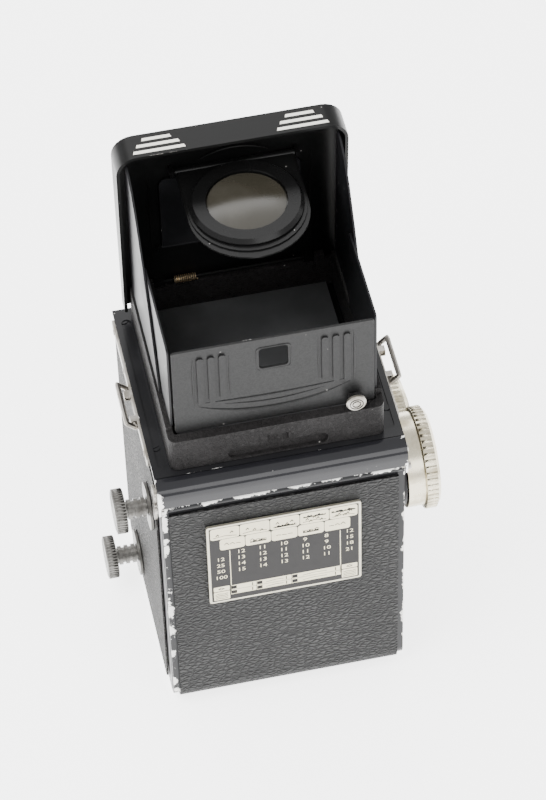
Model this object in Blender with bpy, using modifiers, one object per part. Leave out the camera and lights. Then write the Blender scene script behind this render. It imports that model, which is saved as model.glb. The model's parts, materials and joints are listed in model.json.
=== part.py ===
"""Twin lens reflex camera for roll film, as an assembly of separate pieces.

Sizes are in millimetres and turned into metres where an object is made.
Camera coordinates: x to the photographer's left, y from the deck's rear edge (negative
towards the lenses), z from the deck (negative downwards).  The world frame has +Z up, the
lenses facing -Y, and its origin under the middle of the whole object, on the ground.
"""

import math

import bmesh
import bpy
from mathutils import Euler, Matrix, Vector

MM = 0.001
GAP = 0.3                      # between pieces that rest on each other
RUNNING = 0.25                 # around pieces that turn or slide
ROUND_STEPS = 28

# body
BODY_W = 76.0
DECK_D = 68.6                  # deck depth, front to rear edge
WALL = 4.0                     # casting side wall
FRONT_WALL = 5.8
TOP_WALL = 4.7
SKIN = 0.8                     # side leather
DECK_T = 1.0
CASTING_H = 103.3              # casting, from under the deck to the door's bottom leaf

# L-shaped back door
DOOR_FACE = 4.7                # door's outer metal face behind the deck's rear edge
DOOR_T = 1.3
DOOR_GAP = 0.4                 # between the closed door and the casting
DOOR_R = 7.0                   # rounding between the back and the bottom leaf
DOOR_LEATHER_T = 0.7
HINGE_Z = -9.7
KNUCKLE_R = 1.3
PIN_R = 0.55
BAR_BOTTOM = -8.0
BAR_REAR = 5.5
LEATHER_W = 70.2
LEATHER_TOP = -12.0
LEATHER_GAP = 0.25
PLATE_W = 47.6                 # exposure table
PLATE_TOP = -19.3
PLATE_H = 37.2
PLATE_T = 0.8

# lenses and film path
LENS_PITCH = 42.0
TAKING_Z = -70.0
SCREEN_Y = -34.5               # middle of the screen and of the mirror
LENS_REACH = 20.0              # lens fronts ahead of the body front
BOARD_W = 62.0
BOARD_H = 93.0
BOARD_T = 2.6
SHUTTER_R = 23.0
SHUTTER_T = 8.4
BARREL_R = 15.0
GLASS_R = 11.0
LENS_RECESS = 3.6              # glass behind the barrel's mouth
GATE = 56.0
FILM_Y = -1.7
ROLLER_R = 1.6
SPOOL_R = 12.6
SPOOL_L = 64.8
SPOOL_CORE_R = 4.5
SPOOL_FLANGE = 1.2
SPOOL_BORE_R = 3.0

# knobs
SIDE_REACH = 11.4              # how far the knobs stand out on both sides
TAKE_UP = (-12.9, -28.0)       # y, z of the take-up axis
SUPPLY = (-46.6, -92.8)        # y, z of the supply axis
FOCUS = (-42.5, -48.0)         # y, z of the focusing axis
SPOOL_KNOB_R = 6.8
SPOOL_KNOB_BAND = 3.5
SPOOL_NECK_R = 3.1
SPINDLE_R = 2.2
WIND_R = 15.6
WIND_DRUM_R = 14.6
FOCUS_R = 17.0
WIND_SHAFT_R = 2.5
FOCUS_SHAFT_R = 2.5
PINION_R = 3.6                 # pitch radius
PINION_TEETH = 12
TOOTH = 0.6                    # half height of a tooth
RACK_H = 2.2
GUIDE_R = 1.8
GUIDE_L = 13.6                 # guide rods behind the lens board
GUIDE_X = 28.3
GUIDE_TOP = -11.5
GUIDE_LOW = -52.0
BUSH_Y = -32.0
LATCH_Y = -56.0

# hood
RIDGE_W = 65.2
RIDGE_D = 64.4
RIDGE_REAR = -1.6
RIDGE_H = 13.0
RIDGE_WALL = 2.0
RIDGE_REAR_WALL = 3.0
SCREEN_HALF = RIDGE_W / 2 - RIDGE_WALL - 2.4     # half the ground glass, inside the ridge
SHEET = 0.6                    # thickness of the folding leaves
LEAF_GAP = 0.25
LEAF_X = RIDGE_W / 2 - 1.4                  # middle between a side's two leaves
BACK_PANEL_W = 2 * LEAF_X - 2.4
BACK_PANEL_H = 35.0
BACK_PANEL_T = 0.8
BACK_PANEL_Y = -5.2
BACK_AXIS_Z = 13.8
LEFT_AXIS_Z = 15.4
RIGHT_AXIS_Z = 16.4
CATCH_X = -23.8
CATCH_Z = 16.3
LEAF_TOP = 71.6
EYE_HOLE = 8.7
LID_W = RIDGE_W + 4.3
LID_T = 1.0
LID_FRONT = -67.4              # lid's outer face when open
LID_AXIS = (-65.2, 13.2)
LID_LENGTH = 62.3
LID_FLANGE = 9.2
LID_CORNER = 6.5
LID_BELOW = 8.7                # lid below its axis
MAGNIFIER_AXIS = (-64.2, 60.7)
MAGNIFIER_T = 1.0
MAGNIFIER_W = 36.0
MAGNIFIER_X = -1.4
MAGNIFIER_Y = -46.3
MAGNIFIER_END = 3.0            # round end's centre behind the lens's
RING_R = 16.9
MAGNIFIER_LENS_R = 12.5
FLAP_W = 43.0
FLAP_Z = (27.6, 57.0)

# strap bails
BAIL_L = 17.5
BAIL_Y = -30.8
BAIL_OUT = 2.6
BAIL_UP = 2.5
WIRE_R = 0.8
BAIL_AXIS = (BODY_W / 2 + 1.3, -2.4)    # x, z

# worked out from the sizes above
HALF_W = BODY_W / 2
CHANNEL_X = HALF_W - 3.4        # sunk channels beside the hood
CASTING_X = HALF_W - SKIN
FRONT_Y = -DECK_D + GAP
CASTING_TOP = -DECK_T - GAP
CASTING_BOTTOM = CASTING_TOP - CASTING_H
DOOR_INNER_Z = CASTING_BOTTOM - DOOR_GAP
DOOR_BOTTOM = DOOR_INNER_Z - DOOR_T
GROUND = DOOR_BOTTOM - LEATHER_GAP - DOOR_LEATHER_T
LEATHER_FACE = DOOR_FACE + LEATHER_GAP + DOOR_LEATHER_T
PLATE_FACE = LEATHER_FACE + LEATHER_GAP + PLATE_T
REACH_X = HALF_W + SIDE_REACH
DEPTH = LENS_REACH + DECK_D + PLATE_FACE
Y_DECK = DEPTH / 2 - PLATE_FACE
Z_DECK = -GROUND
VIEWING_Z = TAKING_Z + LENS_PITCH
INNER_X = CASTING_X - WALL
INNER_FRONT = FRONT_Y + FRONT_WALL
RIDGE_FRONT = RIDGE_REAR - RIDGE_D
HINGE_Y = DOOR_FACE - DOOR_T / 2
BOARD_FRONT = -DECK_D - 0.4 - BOARD_T
FRONT_MOST = -DECK_D - LENS_REACH
RACK_X = (27.8, INNER_X - 0.5)      # pinion and rack, distance from the middle plane
RELEASE_Z = TAKING_Z - SHUTTER_R - 3.4
FLAP_Y = LID_FRONT + LID_T + 0.3 + 0.45
FLAP_AXIS_Z = FLAP_Z[0] + 0.4
ROLLER_UPPER = TAKING_Z + GATE / 2 + 1 + ROLLER_R + 0.2
ROLLER_LOWER = TAKING_Z - GATE / 2 - 1 - ROLLER_R - 0.2
REAR_LEAF_X = LEAF_X - (LEAF_GAP + SHEET) / 2
FRONT_LEAF_X = LEAF_X + (LEAF_GAP + SHEET) / 2

FINISHES = {
    "black_paint": ((0.015, 0.015, 0.016), 0.35, 0.0),
    "crackle": ((0.035, 0.035, 0.036), 0.6, 0.0),
    "leather": ((0.09, 0.065, 0.05), 0.6, 0.0),
    "steel": ((0.62, 0.61, 0.58), 0.3, 1.0),
    "aluminium": ((0.75, 0.74, 0.71), 0.35, 1.0),
    "brass": ((0.6, 0.42, 0.16), 0.35, 1.0),
    "glass": ((0.8, 0.82, 0.8), 0.05, 0.0),
    "mirror": ((0.9, 0.9, 0.9), 0.03, 1.0),
    "enamel": ((0.12, 0.12, 0.13), 0.4, 0.0),
    "plastic": ((0.03, 0.03, 0.03), 0.5, 0.0),
}
AXIS_TURN = {
    "X": (0, math.pi / 2, 0), "-X": (0, -math.pi / 2, 0),
    "Y": (-math.pi / 2, 0, 0), "-Y": (math.pi / 2, 0, 0), "Z": (0, 0, 0),
}
# outline planes: the outline's two directions and its thickness direction, in world axes
PLANE_TURN = {
    "yz": Matrix(((0, 0, 1), (1, 0, 0), (0, 1, 0))),
    "xz": Matrix(((1, 0, 0), (0, 0, -1), (0, 1, 0))),
    "xy": Matrix.Identity(3),
}


def world(x, y, z):
    """A point in camera coordinates (mm) as a world position in metres."""
    return Vector((x, y + Y_DECK, z + Z_DECK)) * MM


def finish_material(name):
    """The Principled material of a named finish, made once for each object."""
    colour, roughness, metallic = FINISHES[name]
    material = bpy.data.materials.new(name)
    material.use_nodes = True
    shader = material.node_tree.nodes["Principled BSDF"]
    shader.inputs["Base Color"].default_value = (*colour, 1)
    shader.inputs["Roughness"].default_value = roughness
    shader.inputs["Metallic"].default_value = metallic
    return material


def add_object(name, data, finish, smooth=True):
    """Link a new object to the camera's collection, or to the cutters' if finish is None."""
    obj = bpy.data.objects.new(name, data)
    if finish is None:
        CUTTERS.objects.link(obj)
        obj.hide_render = True
        obj.display_type = "WIRE"
    else:
        CAMERA.objects.link(obj)
        data.materials.append(finish_material(finish))
    if smooth and isinstance(data, bpy.types.Mesh):
        data.shade_smooth()
        data.set_sharp_from_angle(angle=math.radians(35))
    return obj


def bevel(obj, width, segments=2):
    """Round an object's sharp edges."""
    rounding = obj.modifiers.new("rounded edges", "BEVEL")
    rounding.width = width * MM
    rounding.segments = segments
    rounding.limit_method = "ANGLE"
    rounding.harden_normals = False
    return obj


def block(name, xs, ys, zs, finish, rounding=0.0, turn=None):
    """A box between two corners, with its edges rounded."""
    mesh = bpy.data.meshes.new(name)
    bm = bmesh.new()
    bmesh.ops.create_cube(bm, size=1)
    size = Vector((abs(xs[1] - xs[0]), abs(ys[1] - ys[0]), abs(zs[1] - zs[0])))
    bmesh.ops.scale(bm, vec=size * MM, verts=bm.verts)
    bm.to_mesh(mesh)
    bm.free()
    obj = add_object(name, mesh, finish, smooth=False)
    obj.location = world(sum(xs) / 2, sum(ys) / 2, sum(zs) / 2)
    if turn:
        obj.rotation_euler = turn
    if rounding:
        bevel(obj, rounding)
    return obj


def turned(name, profile, axis, centre, finish, ring=False, steps=ROUND_STEPS):
    """A turned shape: (radius, distance along the axis) pairs, outer side top to bottom."""
    mesh = bpy.data.meshes.new(name)
    points = [(radius * MM, 0, along * MM) for radius, along in profile]
    count = len(points)
    edges = [(i, i + 1) for i in range(count - 1)]
    if ring:
        edges.append((count - 1, 0))
    mesh.from_pydata(points, edges, [])
    obj = add_object(name, mesh, finish, smooth=False)
    screw = obj.modifiers.new("turned", "SCREW")
    screw.steps = screw.render_steps = steps
    screw.use_merge_vertices = True
    screw.merge_threshold = 0.00001
    screw.use_smooth_shade = True
    obj.rotation_euler = AXIS_TURN[axis]
    obj.location = world(*centre)
    return obj


def rod(radius, length_to, length_from=0.0):
    """The profile of a plain cylinder along its axis."""
    return [(0, length_to), (radius, length_to), (radius, length_from), (0, length_from)]


def tube(outer, inner, top, bottom):
    """The closed profile of a ring."""
    return [(outer, top), (outer, bottom), (inner, bottom), (inner, top)]


def arc(centre, radius, start, end, steps=6):
    """Points on an arc, angles in degrees."""
    out = []
    for i in range(steps + 1):
        angle = math.radians(start + (end - start) * i / steps)
        out.append((centre[0] + radius * math.cos(angle),
                    centre[1] + radius * math.sin(angle)))
    return out


def rounded(low, high, radii, steps=5):
    """A rectangle with its corners rounded: radii at low-low, high-low, high-high, low-high."""
    (a0, b0), (a1, b1) = low, high
    r = [max(value, 0.01) for value in radii]
    return (arc((a0 + r[0], b0 + r[0]), r[0], 180, 270, steps)
            + arc((a1 - r[1], b0 + r[1]), r[1], 270, 360, steps)
            + arc((a1 - r[2], b1 - r[2]), r[2], 0, 90, steps)
            + arc((a0 + r[3], b1 - r[3]), r[3], 90, 180, steps))


def outline_mesh(curve_obj):
    """A curve object's evaluated mesh with its caps welded."""
    graph = bpy.context.evaluated_depsgraph_get()
    mesh = bpy.data.meshes.new_from_object(curve_obj.evaluated_get(graph))
    bm = bmesh.new()
    bm.from_mesh(mesh)
    bmesh.ops.remove_doubles(bm, verts=bm.verts, dist=0.000002)
    bmesh.ops.recalc_face_normals(bm, faces=bm.faces)
    bm.to_mesh(mesh)
    bm.free()
    return mesh


def plate(name, outlines, plane, place, thickness, finish):
    """A flat outline, given in camera coordinates, with its middle plane at place."""
    curve = bpy.data.curves.new(name, "CURVE")
    curve.dimensions = "2D"
    curve.fill_mode = "BOTH"
    curve.extrude = thickness / 2 * MM
    for outline in outlines:
        spline = curve.splines.new("POLY")
        spline.points.add(len(outline) - 1)
        for point, (a, b) in zip(spline.points, outline):
            point.co = (a * MM, b * MM, 0, 1)
        spline.use_cyclic_u = True
    sketch = bpy.data.objects.new(name + "_sketch", curve)
    CAMERA.objects.link(sketch)
    bpy.context.view_layer.update()
    mesh = outline_mesh(sketch)
    bpy.data.objects.remove(sketch)
    obj = add_object(name, mesh, finish)
    obj.rotation_euler = PLANE_TURN[plane].to_euler()
    origin = {"yz": (place, 0, 0), "xz": (0, place, 0), "xy": (0, 0, place)}[plane]
    obj.location = world(*origin)
    return obj


def wire(name, points, radius, finish):
    """A bent wire through the points, with closed ends."""
    curve = bpy.data.curves.new(name, "CURVE")
    curve.dimensions = "3D"
    curve.bevel_depth = radius * MM
    curve.bevel_resolution = 2
    curve.use_fill_caps = True
    spline = curve.splines.new("POLY")
    spline.points.add(len(points) - 1)
    for point, place in zip(spline.points, points):
        point.co = (*world(*place), 1)
    sketch = bpy.data.objects.new(name + "_sketch", curve)
    CAMERA.objects.link(sketch)
    bpy.context.view_layer.update()
    mesh = outline_mesh(sketch)
    bpy.data.objects.remove(sketch)
    return add_object(name, mesh, finish)


def boolean(obj, other, operation):
    """Cut another shape out of an object, or join it on; the other becomes a cutter."""
    change = obj.modifiers.new(operation.lower(), "BOOLEAN")
    change.operation = operation
    change.solver = "EXACT"
    change.object = other


def cut(obj, *others):
    """Cut each cutter out of an object."""
    for other in others:
        boolean(obj, other, "DIFFERENCE")
    return obj


def join(obj, *others):
    """Join each shape onto an object."""
    for other in others:
        boolean(obj, other, "UNION")
    return obj


def pivot(name, x, y, z, *pieces):
    """An empty on a joint's axis that carries the pieces of one moving body."""
    empty = bpy.data.objects.new(name, None)
    empty.location = world(x, y, z)
    CAMERA.objects.link(empty)
    for piece in pieces:
        piece.parent = empty
        piece.matrix_parent_inverse = Matrix.Translation(-empty.location)
    return empty


def hole(name, radius, axis, centre, length):
    """A round cutter centred on a point, with fewer sides when it is small."""
    steps = 12 if radius < 1.5 else 16 if radius < 4 else ROUND_STEPS
    return turned(name, rod(radius, length / 2, -length / 2), axis, centre, None, steps=steps)


# ---------------------------------------------------------------- body


def body_casting():
    """The die-cast box: open at the back and the bottom, with its lens and shaft holes."""
    radius = DOOR_R - DOOR_T - DOOR_GAP
    rear = DOOR_FACE - DOOR_T - DOOR_GAP
    under_hinge = HINGE_Z - KNUCKLE_R - DOOR_GAP
    outline = ([(FRONT_Y, CASTING_TOP), (FRONT_Y, CASTING_BOTTOM)]
               + arc((rear - radius, CASTING_BOTTOM + radius), radius, -90, 0, 6)
               + [(rear, under_hinge), (-0.6, under_hinge), (-0.6, CASTING_TOP)])
    casting = plate("body_casting", [outline], "yz", 0, 2 * CASTING_X, "black_paint")
    under_top = CASTING_TOP - TOP_WALL
    cut(
        casting,
        block("cut_inside", (-INNER_X, INNER_X), (INNER_FRONT, 10), (GROUND - 10, under_top), None),
        block("cut_screen_shaft", (-SCREEN_HALF - GAP, SCREEN_HALF + GAP),
              (SCREEN_Y - SCREEN_HALF - GAP, SCREEN_Y + SCREEN_HALF - 0.2),
              (under_top - 1, 5), None),
        hole("cut_viewing_port", 15.5, "Y", (0, FRONT_Y, VIEWING_Z), 14),
        hole("cut_taking_port", 21.0, "Y", (0, FRONT_Y, TAKING_Z), 14),
        hole("cut_take_up_left", SPINDLE_R + 0.6, "X", (HALF_W, *TAKE_UP), 14),
        hole("cut_supply_left", SPINDLE_R + 0.6, "X", (HALF_W, *SUPPLY), 14),
        hole("cut_wind_shaft", WIND_SHAFT_R + RUNNING, "X", (-HALF_W, *TAKE_UP), 14),
        hole("cut_focus_shaft", FOCUS_SHAFT_R + RUNNING, "X", (-HALF_W, *FOCUS), 14),
        block("cut_rack", *rack_space(0.4), None),
        *[hole(f"cut_guide_{side}_{height}", GUIDE_R + RUNNING, "Y",
               (GUIDE_X * side, FRONT_Y, height_z), 14)
          for side in (-1, 1) for height, height_z in (("top", GUIDE_TOP), ("low", GUIDE_LOW))],
    )
    return casting


def top_deck():
    """The painted top plate, with the sunk channels beside the hood."""
    deck = block("top_deck", (-HALF_W, HALF_W), (-DECK_D, 0), (-DECK_T, 0), "black_paint")
    channels = [
        plate(f"cut_channel_{name}", [rounded((side * CHANNEL_X - 1.5, -64), (side * CHANNEL_X + 1.5, -3.5),
              (1.4,) * 4)], "xy", 0.1, 1.4, None)
        for name, side in (("left", 1), ("right", -1))
    ]
    opening = block("cut_deck_opening", (-SCREEN_HALF - 0.8, SCREEN_HALF + 0.8),
                    (SCREEN_Y - SCREEN_HALF - 0.8, SCREEN_Y + SCREEN_HALF + 0.4), (-3, 3), None)
    return cut(deck, opening, *channels)


def side_rail(name, side):
    """The bright strip along one side of the deck with two eyes for the strap bail."""
    xs = sorted((side * (CASTING_X + GAP), side * (HALF_W + 0.7)))
    rail = block(name, xs, (-66, -8.5), (-4.1, -DECK_T - GAP), "steel", 0.25)
    eye_x = sorted((side * (HALF_W + 0.4), side * (BAIL_AXIS[0] + 1.2)))
    eyes = []
    for end in (-1, 1):
        y = BAIL_Y + end * (BAIL_L / 2 - 3.6)
        eyes.append(block(f"{name}_eye_{end}", eye_x, (y - 1.1, y + 1.1),
                          (BAIL_AXIS[1] - 1.3, BAIL_AXIS[1] + 1.1), None))
    join(rail, *eyes)
    pin_hole = hole(f"cut_{name}_pin", WIRE_R + RUNNING, "Y",
                    (side * BAIL_AXIS[0], BAIL_Y, BAIL_AXIS[1]), BAIL_L - 1)
    return cut(rail, pin_hole)


def hinge_bar():
    """The rounded bar over the door hinge, with an ear for the pin at each end."""
    radius = BAR_REAR - 0.6
    outline = ([(GAP, 0), (GAP, BAR_BOTTOM), (BAR_REAR, BAR_BOTTOM)]
               + arc((BAR_REAR - radius, -radius), radius, 0, 90, 8))
    bar = plate("hinge_bar", [outline], "yz", 0, BODY_W, "black_paint")
    ears = [
        block(f"bar_ear_{side}", sorted((side * (HALF_W - 0.7), side * HALF_W)),
              (HINGE_Y - 1.6, HINGE_Y + 1.4), (HINGE_Z - 1.6, BAR_BOTTOM + 1), None)
        for side in (-1, 1)
    ]
    join(bar, *ears)
    return cut(bar, hole("cut_ear_pin", PIN_R + RUNNING, "X", (0, HINGE_Y, HINGE_Z), BODY_W + 4))


def door_hinge_pin():
    """The long pin of the door with its two heads."""
    end = HALF_W + GAP
    profile = [(0, end + 0.8), (1.1, end + 0.8), (1.1, end), (PIN_R, end),
               (PIN_R, -end), (1.1, -end), (1.1, -end - 0.8), (0, -end - 0.8)]
    return turned("door_hinge_pin", profile, "X", (0, HINGE_Y, HINGE_Z), "steel", steps=16)


def side_leather(name, side):
    """The leather covering of one side, cut out for the knobs."""
    xs = (CASTING_X + GAP, CASTING_X + SKIN)
    outline = rounded((-66, CASTING_BOTTOM + 1.5), (-2.5, -5.2), (2.5,) * 4)
    skin = plate(name, [outline], "yz", side * sum(xs) / 2, xs[1] - xs[0], "leather")
    if side > 0:
        holes = [("upper", TAKE_UP, SPOOL_NECK_R + 1), ("lower", SUPPLY, SPOOL_NECK_R + 1)]
    else:
        holes = [("wind", TAKE_UP, WIND_SHAFT_R + 1), ("focus", FOCUS, FOCUS_SHAFT_R + 1)]
    for label, centre, radius in holes:
        cut(skin, hole(f"cut_{name}_{label}", radius, "X", (side * HALF_W, *centre), 6))
    return skin


def tripod_bush():
    """The threaded bush in the door's bottom leaf."""
    top = DOOR_INNER_Z + 1.2
    bottom = GROUND + 0.2
    profile = [(9.4, top), (9.4, DOOR_INNER_Z + GAP), (8.0, DOOR_INNER_Z + GAP), (8.0, bottom),
               (3.2, bottom), (3.2, top)]
    return turned("tripod_bush", [(r, z) for r, z in profile], "Z",
                  (0, BUSH_Y, 0), "steel", ring=True)


# ---------------------------------------------------------------- back door


def l_sheet(face, thickness, top, front):
    """The outline of a sheet that runs down the back and forward under the bottom."""
    outer = DOOR_FACE + face
    radius = DOOR_R + face
    centre = (DOOR_FACE - DOOR_R, DOOR_BOTTOM + DOOR_R)
    inner = outer - thickness
    return ([(outer, top)] + arc(centre, radius, 0, -90, 8)
            + [(front, centre[1] - radius), (front, centre[1] - radius + thickness)]
            + arc(centre, radius - thickness, -90, 0, 8) + [(inner, top)])


def back_door():
    """The L-shaped door: hinge knuckle, back leaf and bottom leaf."""
    door = plate("back_door", [l_sheet(0, DOOR_T, HINGE_Z, FRONT_Y + 0.4)], "yz", 0,
                 2 * CASTING_X - 0.2, "black_paint")
    knuckle = turned("door_knuckle", rod(KNUCKLE_R, HALF_W - 1.7, -HALF_W + 1.7), "X",
                     (0, HINGE_Y, HINGE_Z), None, steps=20)
    join(door, knuckle)
    return cut(
        door,
        hole("cut_knuckle", PIN_R + RUNNING, "X", (0, HINGE_Y, HINGE_Z), BODY_W),
        hole("cut_bush", 8.0 + GAP, "Z", (0, BUSH_Y, DOOR_BOTTOM), 8),
        block("cut_latch_slot", (-2.4, 2.4), (LATCH_Y - 3.6, LATCH_Y + 3.6),
              (DOOR_BOTTOM - 3, DOOR_BOTTOM + 4), None),
    )


def back_leather():
    """The leather over the back and the bottom of the door."""
    skin = plate("back_leather", [l_sheet(LEATHER_GAP + DOOR_LEATHER_T, DOOR_LEATHER_T,
                                          LEATHER_TOP, -65.5)], "yz", 0, LEATHER_W, "leather")
    return cut(
        skin,
        hole("cut_leather_bush", 8.0 + GAP, "Z", (0, BUSH_Y, DOOR_BOTTOM), 8),
        block("cut_leather_latch", (-7.4, 7.4), (LATCH_Y - 6.2, LATCH_Y + 6.2),
              (GROUND - 2, DOOR_BOTTOM + 0.1), None),
    )


def exposure_table():
    """The framed exposure table on the back."""
    zs = (PLATE_TOP - PLATE_H, PLATE_TOP)
    outline = rounded((-PLATE_W / 2 + 0.6, zs[0]), (PLATE_W / 2 + 0.6, zs[1]), (0.8,) * 4, 3)
    return plate("exposure_table", [outline], "xz", PLATE_FACE - PLATE_T / 2, PLATE_T, "enamel")


def pressure_plate():
    """The sprung plate that holds the film flat."""
    outline = rounded((-30, TAKING_Z - 27.5), (30, TAKING_Z + 27.5), (2,) * 4, 3)
    return plate("pressure_plate", [outline], "xz", FILM_Y + 0.3 + 0.6, 1.2, "black_paint")


def pressure_spring():
    """The bowed leaf spring behind the pressure plate, riveted to the door."""
    low = DOOR_FACE - DOOR_T - GAP
    bow = 2.3
    half = 22.0
    outer = [(half * t, low - bow * (1 - t * t)) for t in (-1, -0.6, -0.2, 0.2, 0.6, 1)]
    inner = [(x, y - 0.4) for x, y in reversed(outer)]
    return plate("pressure_spring", [outer + inner], "xy", TAKING_Z, 10, "steel")


def door_latch():
    """The sliding latch in the bottom leaf: thumb plate, stem and inner tongue."""
    latch = block("door_latch", (-6.5, 6.5), (LATCH_Y - 2.8, LATCH_Y + 2.8),
                  (GROUND + 0.25, DOOR_BOTTOM - 0.25), "steel")
    stem = block("latch_stem", (-2, 2), (LATCH_Y - 1.2, LATCH_Y + 1.2),
                 (DOOR_BOTTOM - 0.5, DOOR_INNER_Z + 0.6), None)
    tongue = block("latch_tongue", (-5, 5), (LATCH_Y - 1.8, LATCH_Y + 1.8),
                   (DOOR_INNER_Z + 0.3, DOOR_INNER_Z + 1.1), None)
    return join(latch, stem, tongue)


# ---------------------------------------------------------------- optics and film path


def light_chamber():
    """The tapered dark chamber behind the taking lens, with the film gate at its rear."""
    front, rear = INNER_FRONT + GAP, FILM_Y - 1.2
    length = rear - front
    middle = (front + rear) / 2

    def frustum(name, half_front, half_rear, extra, finish):
        mesh = bpy.data.meshes.new(name)
        bm = bmesh.new()
        slope = (half_rear - half_front) / length
        root2 = math.sqrt(2) * MM
        bmesh.ops.create_cone(
            bm, cap_ends=True, segments=4, depth=(length + 2 * extra) * MM,
            radius1=(half_front - slope * extra) * root2,
            radius2=(half_rear + slope * extra) * root2,
            matrix=Matrix.Rotation(math.pi / 4, 4, "Z"))
        bm.to_mesh(mesh)
        bm.free()
        obj = add_object(name, mesh, finish, smooth=False)
        obj.rotation_euler = AXIS_TURN["Y"]
        obj.location = world(0, middle, TAKING_Z)
        return obj

    chamber = frustum("light_chamber", 12.2, GATE / 2 + 1.0, 0, "black_paint")
    gate = block("gate_plate", (-INNER_X + GAP, INNER_X - GAP), (rear - 0.5, FILM_Y),
                 (TAKING_Z - GATE / 2 - 1, TAKING_Z + GATE / 2 + 1), None)
    join(chamber, gate)
    return cut(chamber, frustum("cut_chamber", 11.0, GATE / 2 - 0.2, 5, None))


def mirror_place(offset):
    """The middle of the mirror, moved along its normal."""
    step = offset / math.sqrt(2)
    return (SCREEN_Y - step, VIEWING_Z + step)


def mirror_carrier():
    """The sloping plate that carries the mirror between the casting's sides."""
    y, z = mirror_place(-1.2)
    carrier = block("mirror_carrier", (-INNER_X + GAP, INNER_X - GAP), (y - 28, y + 28),
                    (z - 0.6, z + 0.6), "black_paint", turn=Euler((math.pi / 4, 0, 0)))
    rack_x, _, rack_z = rack_space(0.5)
    return cut(carrier, block("cut_carrier_rack", (rack_x[0] - 1, rack_x[1]), (-60, -28),
                              (rack_z[0] - 1, rack_z[1]), None))


def mirror_glass():
    """The mirror, fixed on its carrier."""
    y, z = mirror_place(0.4)
    return block("mirror", (-27, 27), (y - 26.5, y + 26.5), (z - 0.6, z + 0.6), "mirror",
                 turn=Euler((math.pi / 4, 0, 0)))


def focusing_screen():
    """The ground glass."""
    return block("focusing_screen", (-SCREEN_HALF, SCREEN_HALF),
                 (SCREEN_Y - SCREEN_HALF, SCREEN_Y + SCREEN_HALF),
                 (1.7, 3.2), "glass")


def screen_frame():
    """The frame that the ground glass lies on."""
    rim, window = SCREEN_HALF + 1.9, SCREEN_HALF - 1.2
    frame = block("screen_frame", (-rim, rim),
                  (SCREEN_Y - SCREEN_HALF - 0.8, SCREEN_Y + SCREEN_HALF + 0.8),
                  (GAP, 1.4), "black_paint")
    return cut(frame, block("cut_screen_frame", (-window, window),
                            (SCREEN_Y - window, SCREEN_Y + window), (-2, 4), None))


def film_roller(name, z):
    """A free guide roller at one end of the film gate."""
    half = INNER_X - GAP
    return turned(name, rod(ROLLER_R, half, -half), "X", (0, FILM_Y - ROLLER_R, z), "steel",
                  steps=18)


def take_up_spool():
    """The spool that the film winds on to."""
    end = SPOOL_L / 2
    inside = end - SPOOL_FLANGE
    profile = [(SPOOL_R, end), (SPOOL_R, inside), (SPOOL_CORE_R, inside),
               (SPOOL_CORE_R, -inside), (SPOOL_R, -inside), (SPOOL_R, -end),
               (SPOOL_BORE_R, -end), (SPOOL_BORE_R, end)]
    return turned("take_up_spool", profile, "X", (0, *TAKE_UP), "black_paint", ring=True)


# ---------------------------------------------------------------- knobs


def spool_knob(name, centre):
    """A pull-out spool knob: knurled head, grooved neck and spindle."""
    head = REACH_X - SPOOL_KNOB_BAND
    collar = HALF_W + 1.4
    inside = SPOOL_L / 2 - 3.0
    profile = [(0, REACH_X), (SPOOL_KNOB_R - 0.4, REACH_X), (SPOOL_KNOB_R, REACH_X - 0.4),
               (SPOOL_KNOB_R, head), (SPOOL_NECK_R - 0.6, head)]
    pitch = (head - collar) / 3
    for disc in range(3):
        top = head - (disc + 0.35) * pitch
        profile += [(SPOOL_NECK_R - 0.6, top), (SPOOL_NECK_R, top),
                    (SPOOL_NECK_R, top - 0.55 * pitch), (SPOOL_NECK_R - 0.6, top - 0.55 * pitch)]
    profile += [(SPOOL_NECK_R - 0.6, collar), (SPINDLE_R, collar), (SPINDLE_R, inside),
                (0, inside)]
    return turned(name, profile, "X", (0, *centre), "aluminium", steps=20)


def knob_flange(name, centre):
    """The thin bright washer under a spool knob."""
    base = HALF_W + GAP
    return turned(name, tube(7.5, SPINDLE_R + 0.6, base + 0.8, base), "X", (0, *centre),
                  "aluminium", ring=True)


def wind_knob():
    """The film winding knob: brushed drum and coarse rim."""
    base = HALF_W + 1.5
    rim = REACH_X - 4.4
    profile = [(0, REACH_X), (WIND_R - 1.2, REACH_X), (WIND_R, REACH_X - 0.9), (WIND_R, rim),
               (WIND_DRUM_R, rim - 0.4), (WIND_DRUM_R, base), (0, base)]
    return turned("wind_knob", profile, "-X", (0, *TAKE_UP), "aluminium", steps=36)


def wind_shaft():
    """The shaft of the winding knob, with the key that drives the spool."""
    outer = HALF_W + 1.5 - GAP
    inside = SPOOL_L / 2 - 5.0
    return turned("wind_shaft", rod(WIND_SHAFT_R, outer, inside), "-X", (0, *TAKE_UP), "steel",
                  steps=20)


def counter_dial():
    """The numbered film counter disc between the winding knob and the body."""
    base = HALF_W + GAP
    return turned("counter_dial", tube(WIND_DRUM_R - 1, WIND_SHAFT_R + 0.4, base + 0.8, base),
                  "-X", (0, *TAKE_UP), "enamel", ring=True, steps=36)


def focus_knob():
    """The focusing knob: coarse band and smooth outer ring."""
    base = HALF_W + 1.9
    profile = [(0, REACH_X), (FOCUS_R - 4.0, REACH_X), (FOCUS_R - 3.4, REACH_X - 0.8),
               (FOCUS_R - 1.0, REACH_X - 0.8), (FOCUS_R, REACH_X - 1.8), (FOCUS_R, base + 0.4),
               (FOCUS_R - 0.4, base), (0, base)]
    return turned("focus_knob", profile, "-X", (0, *FOCUS), "aluminium", steps=36)


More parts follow.
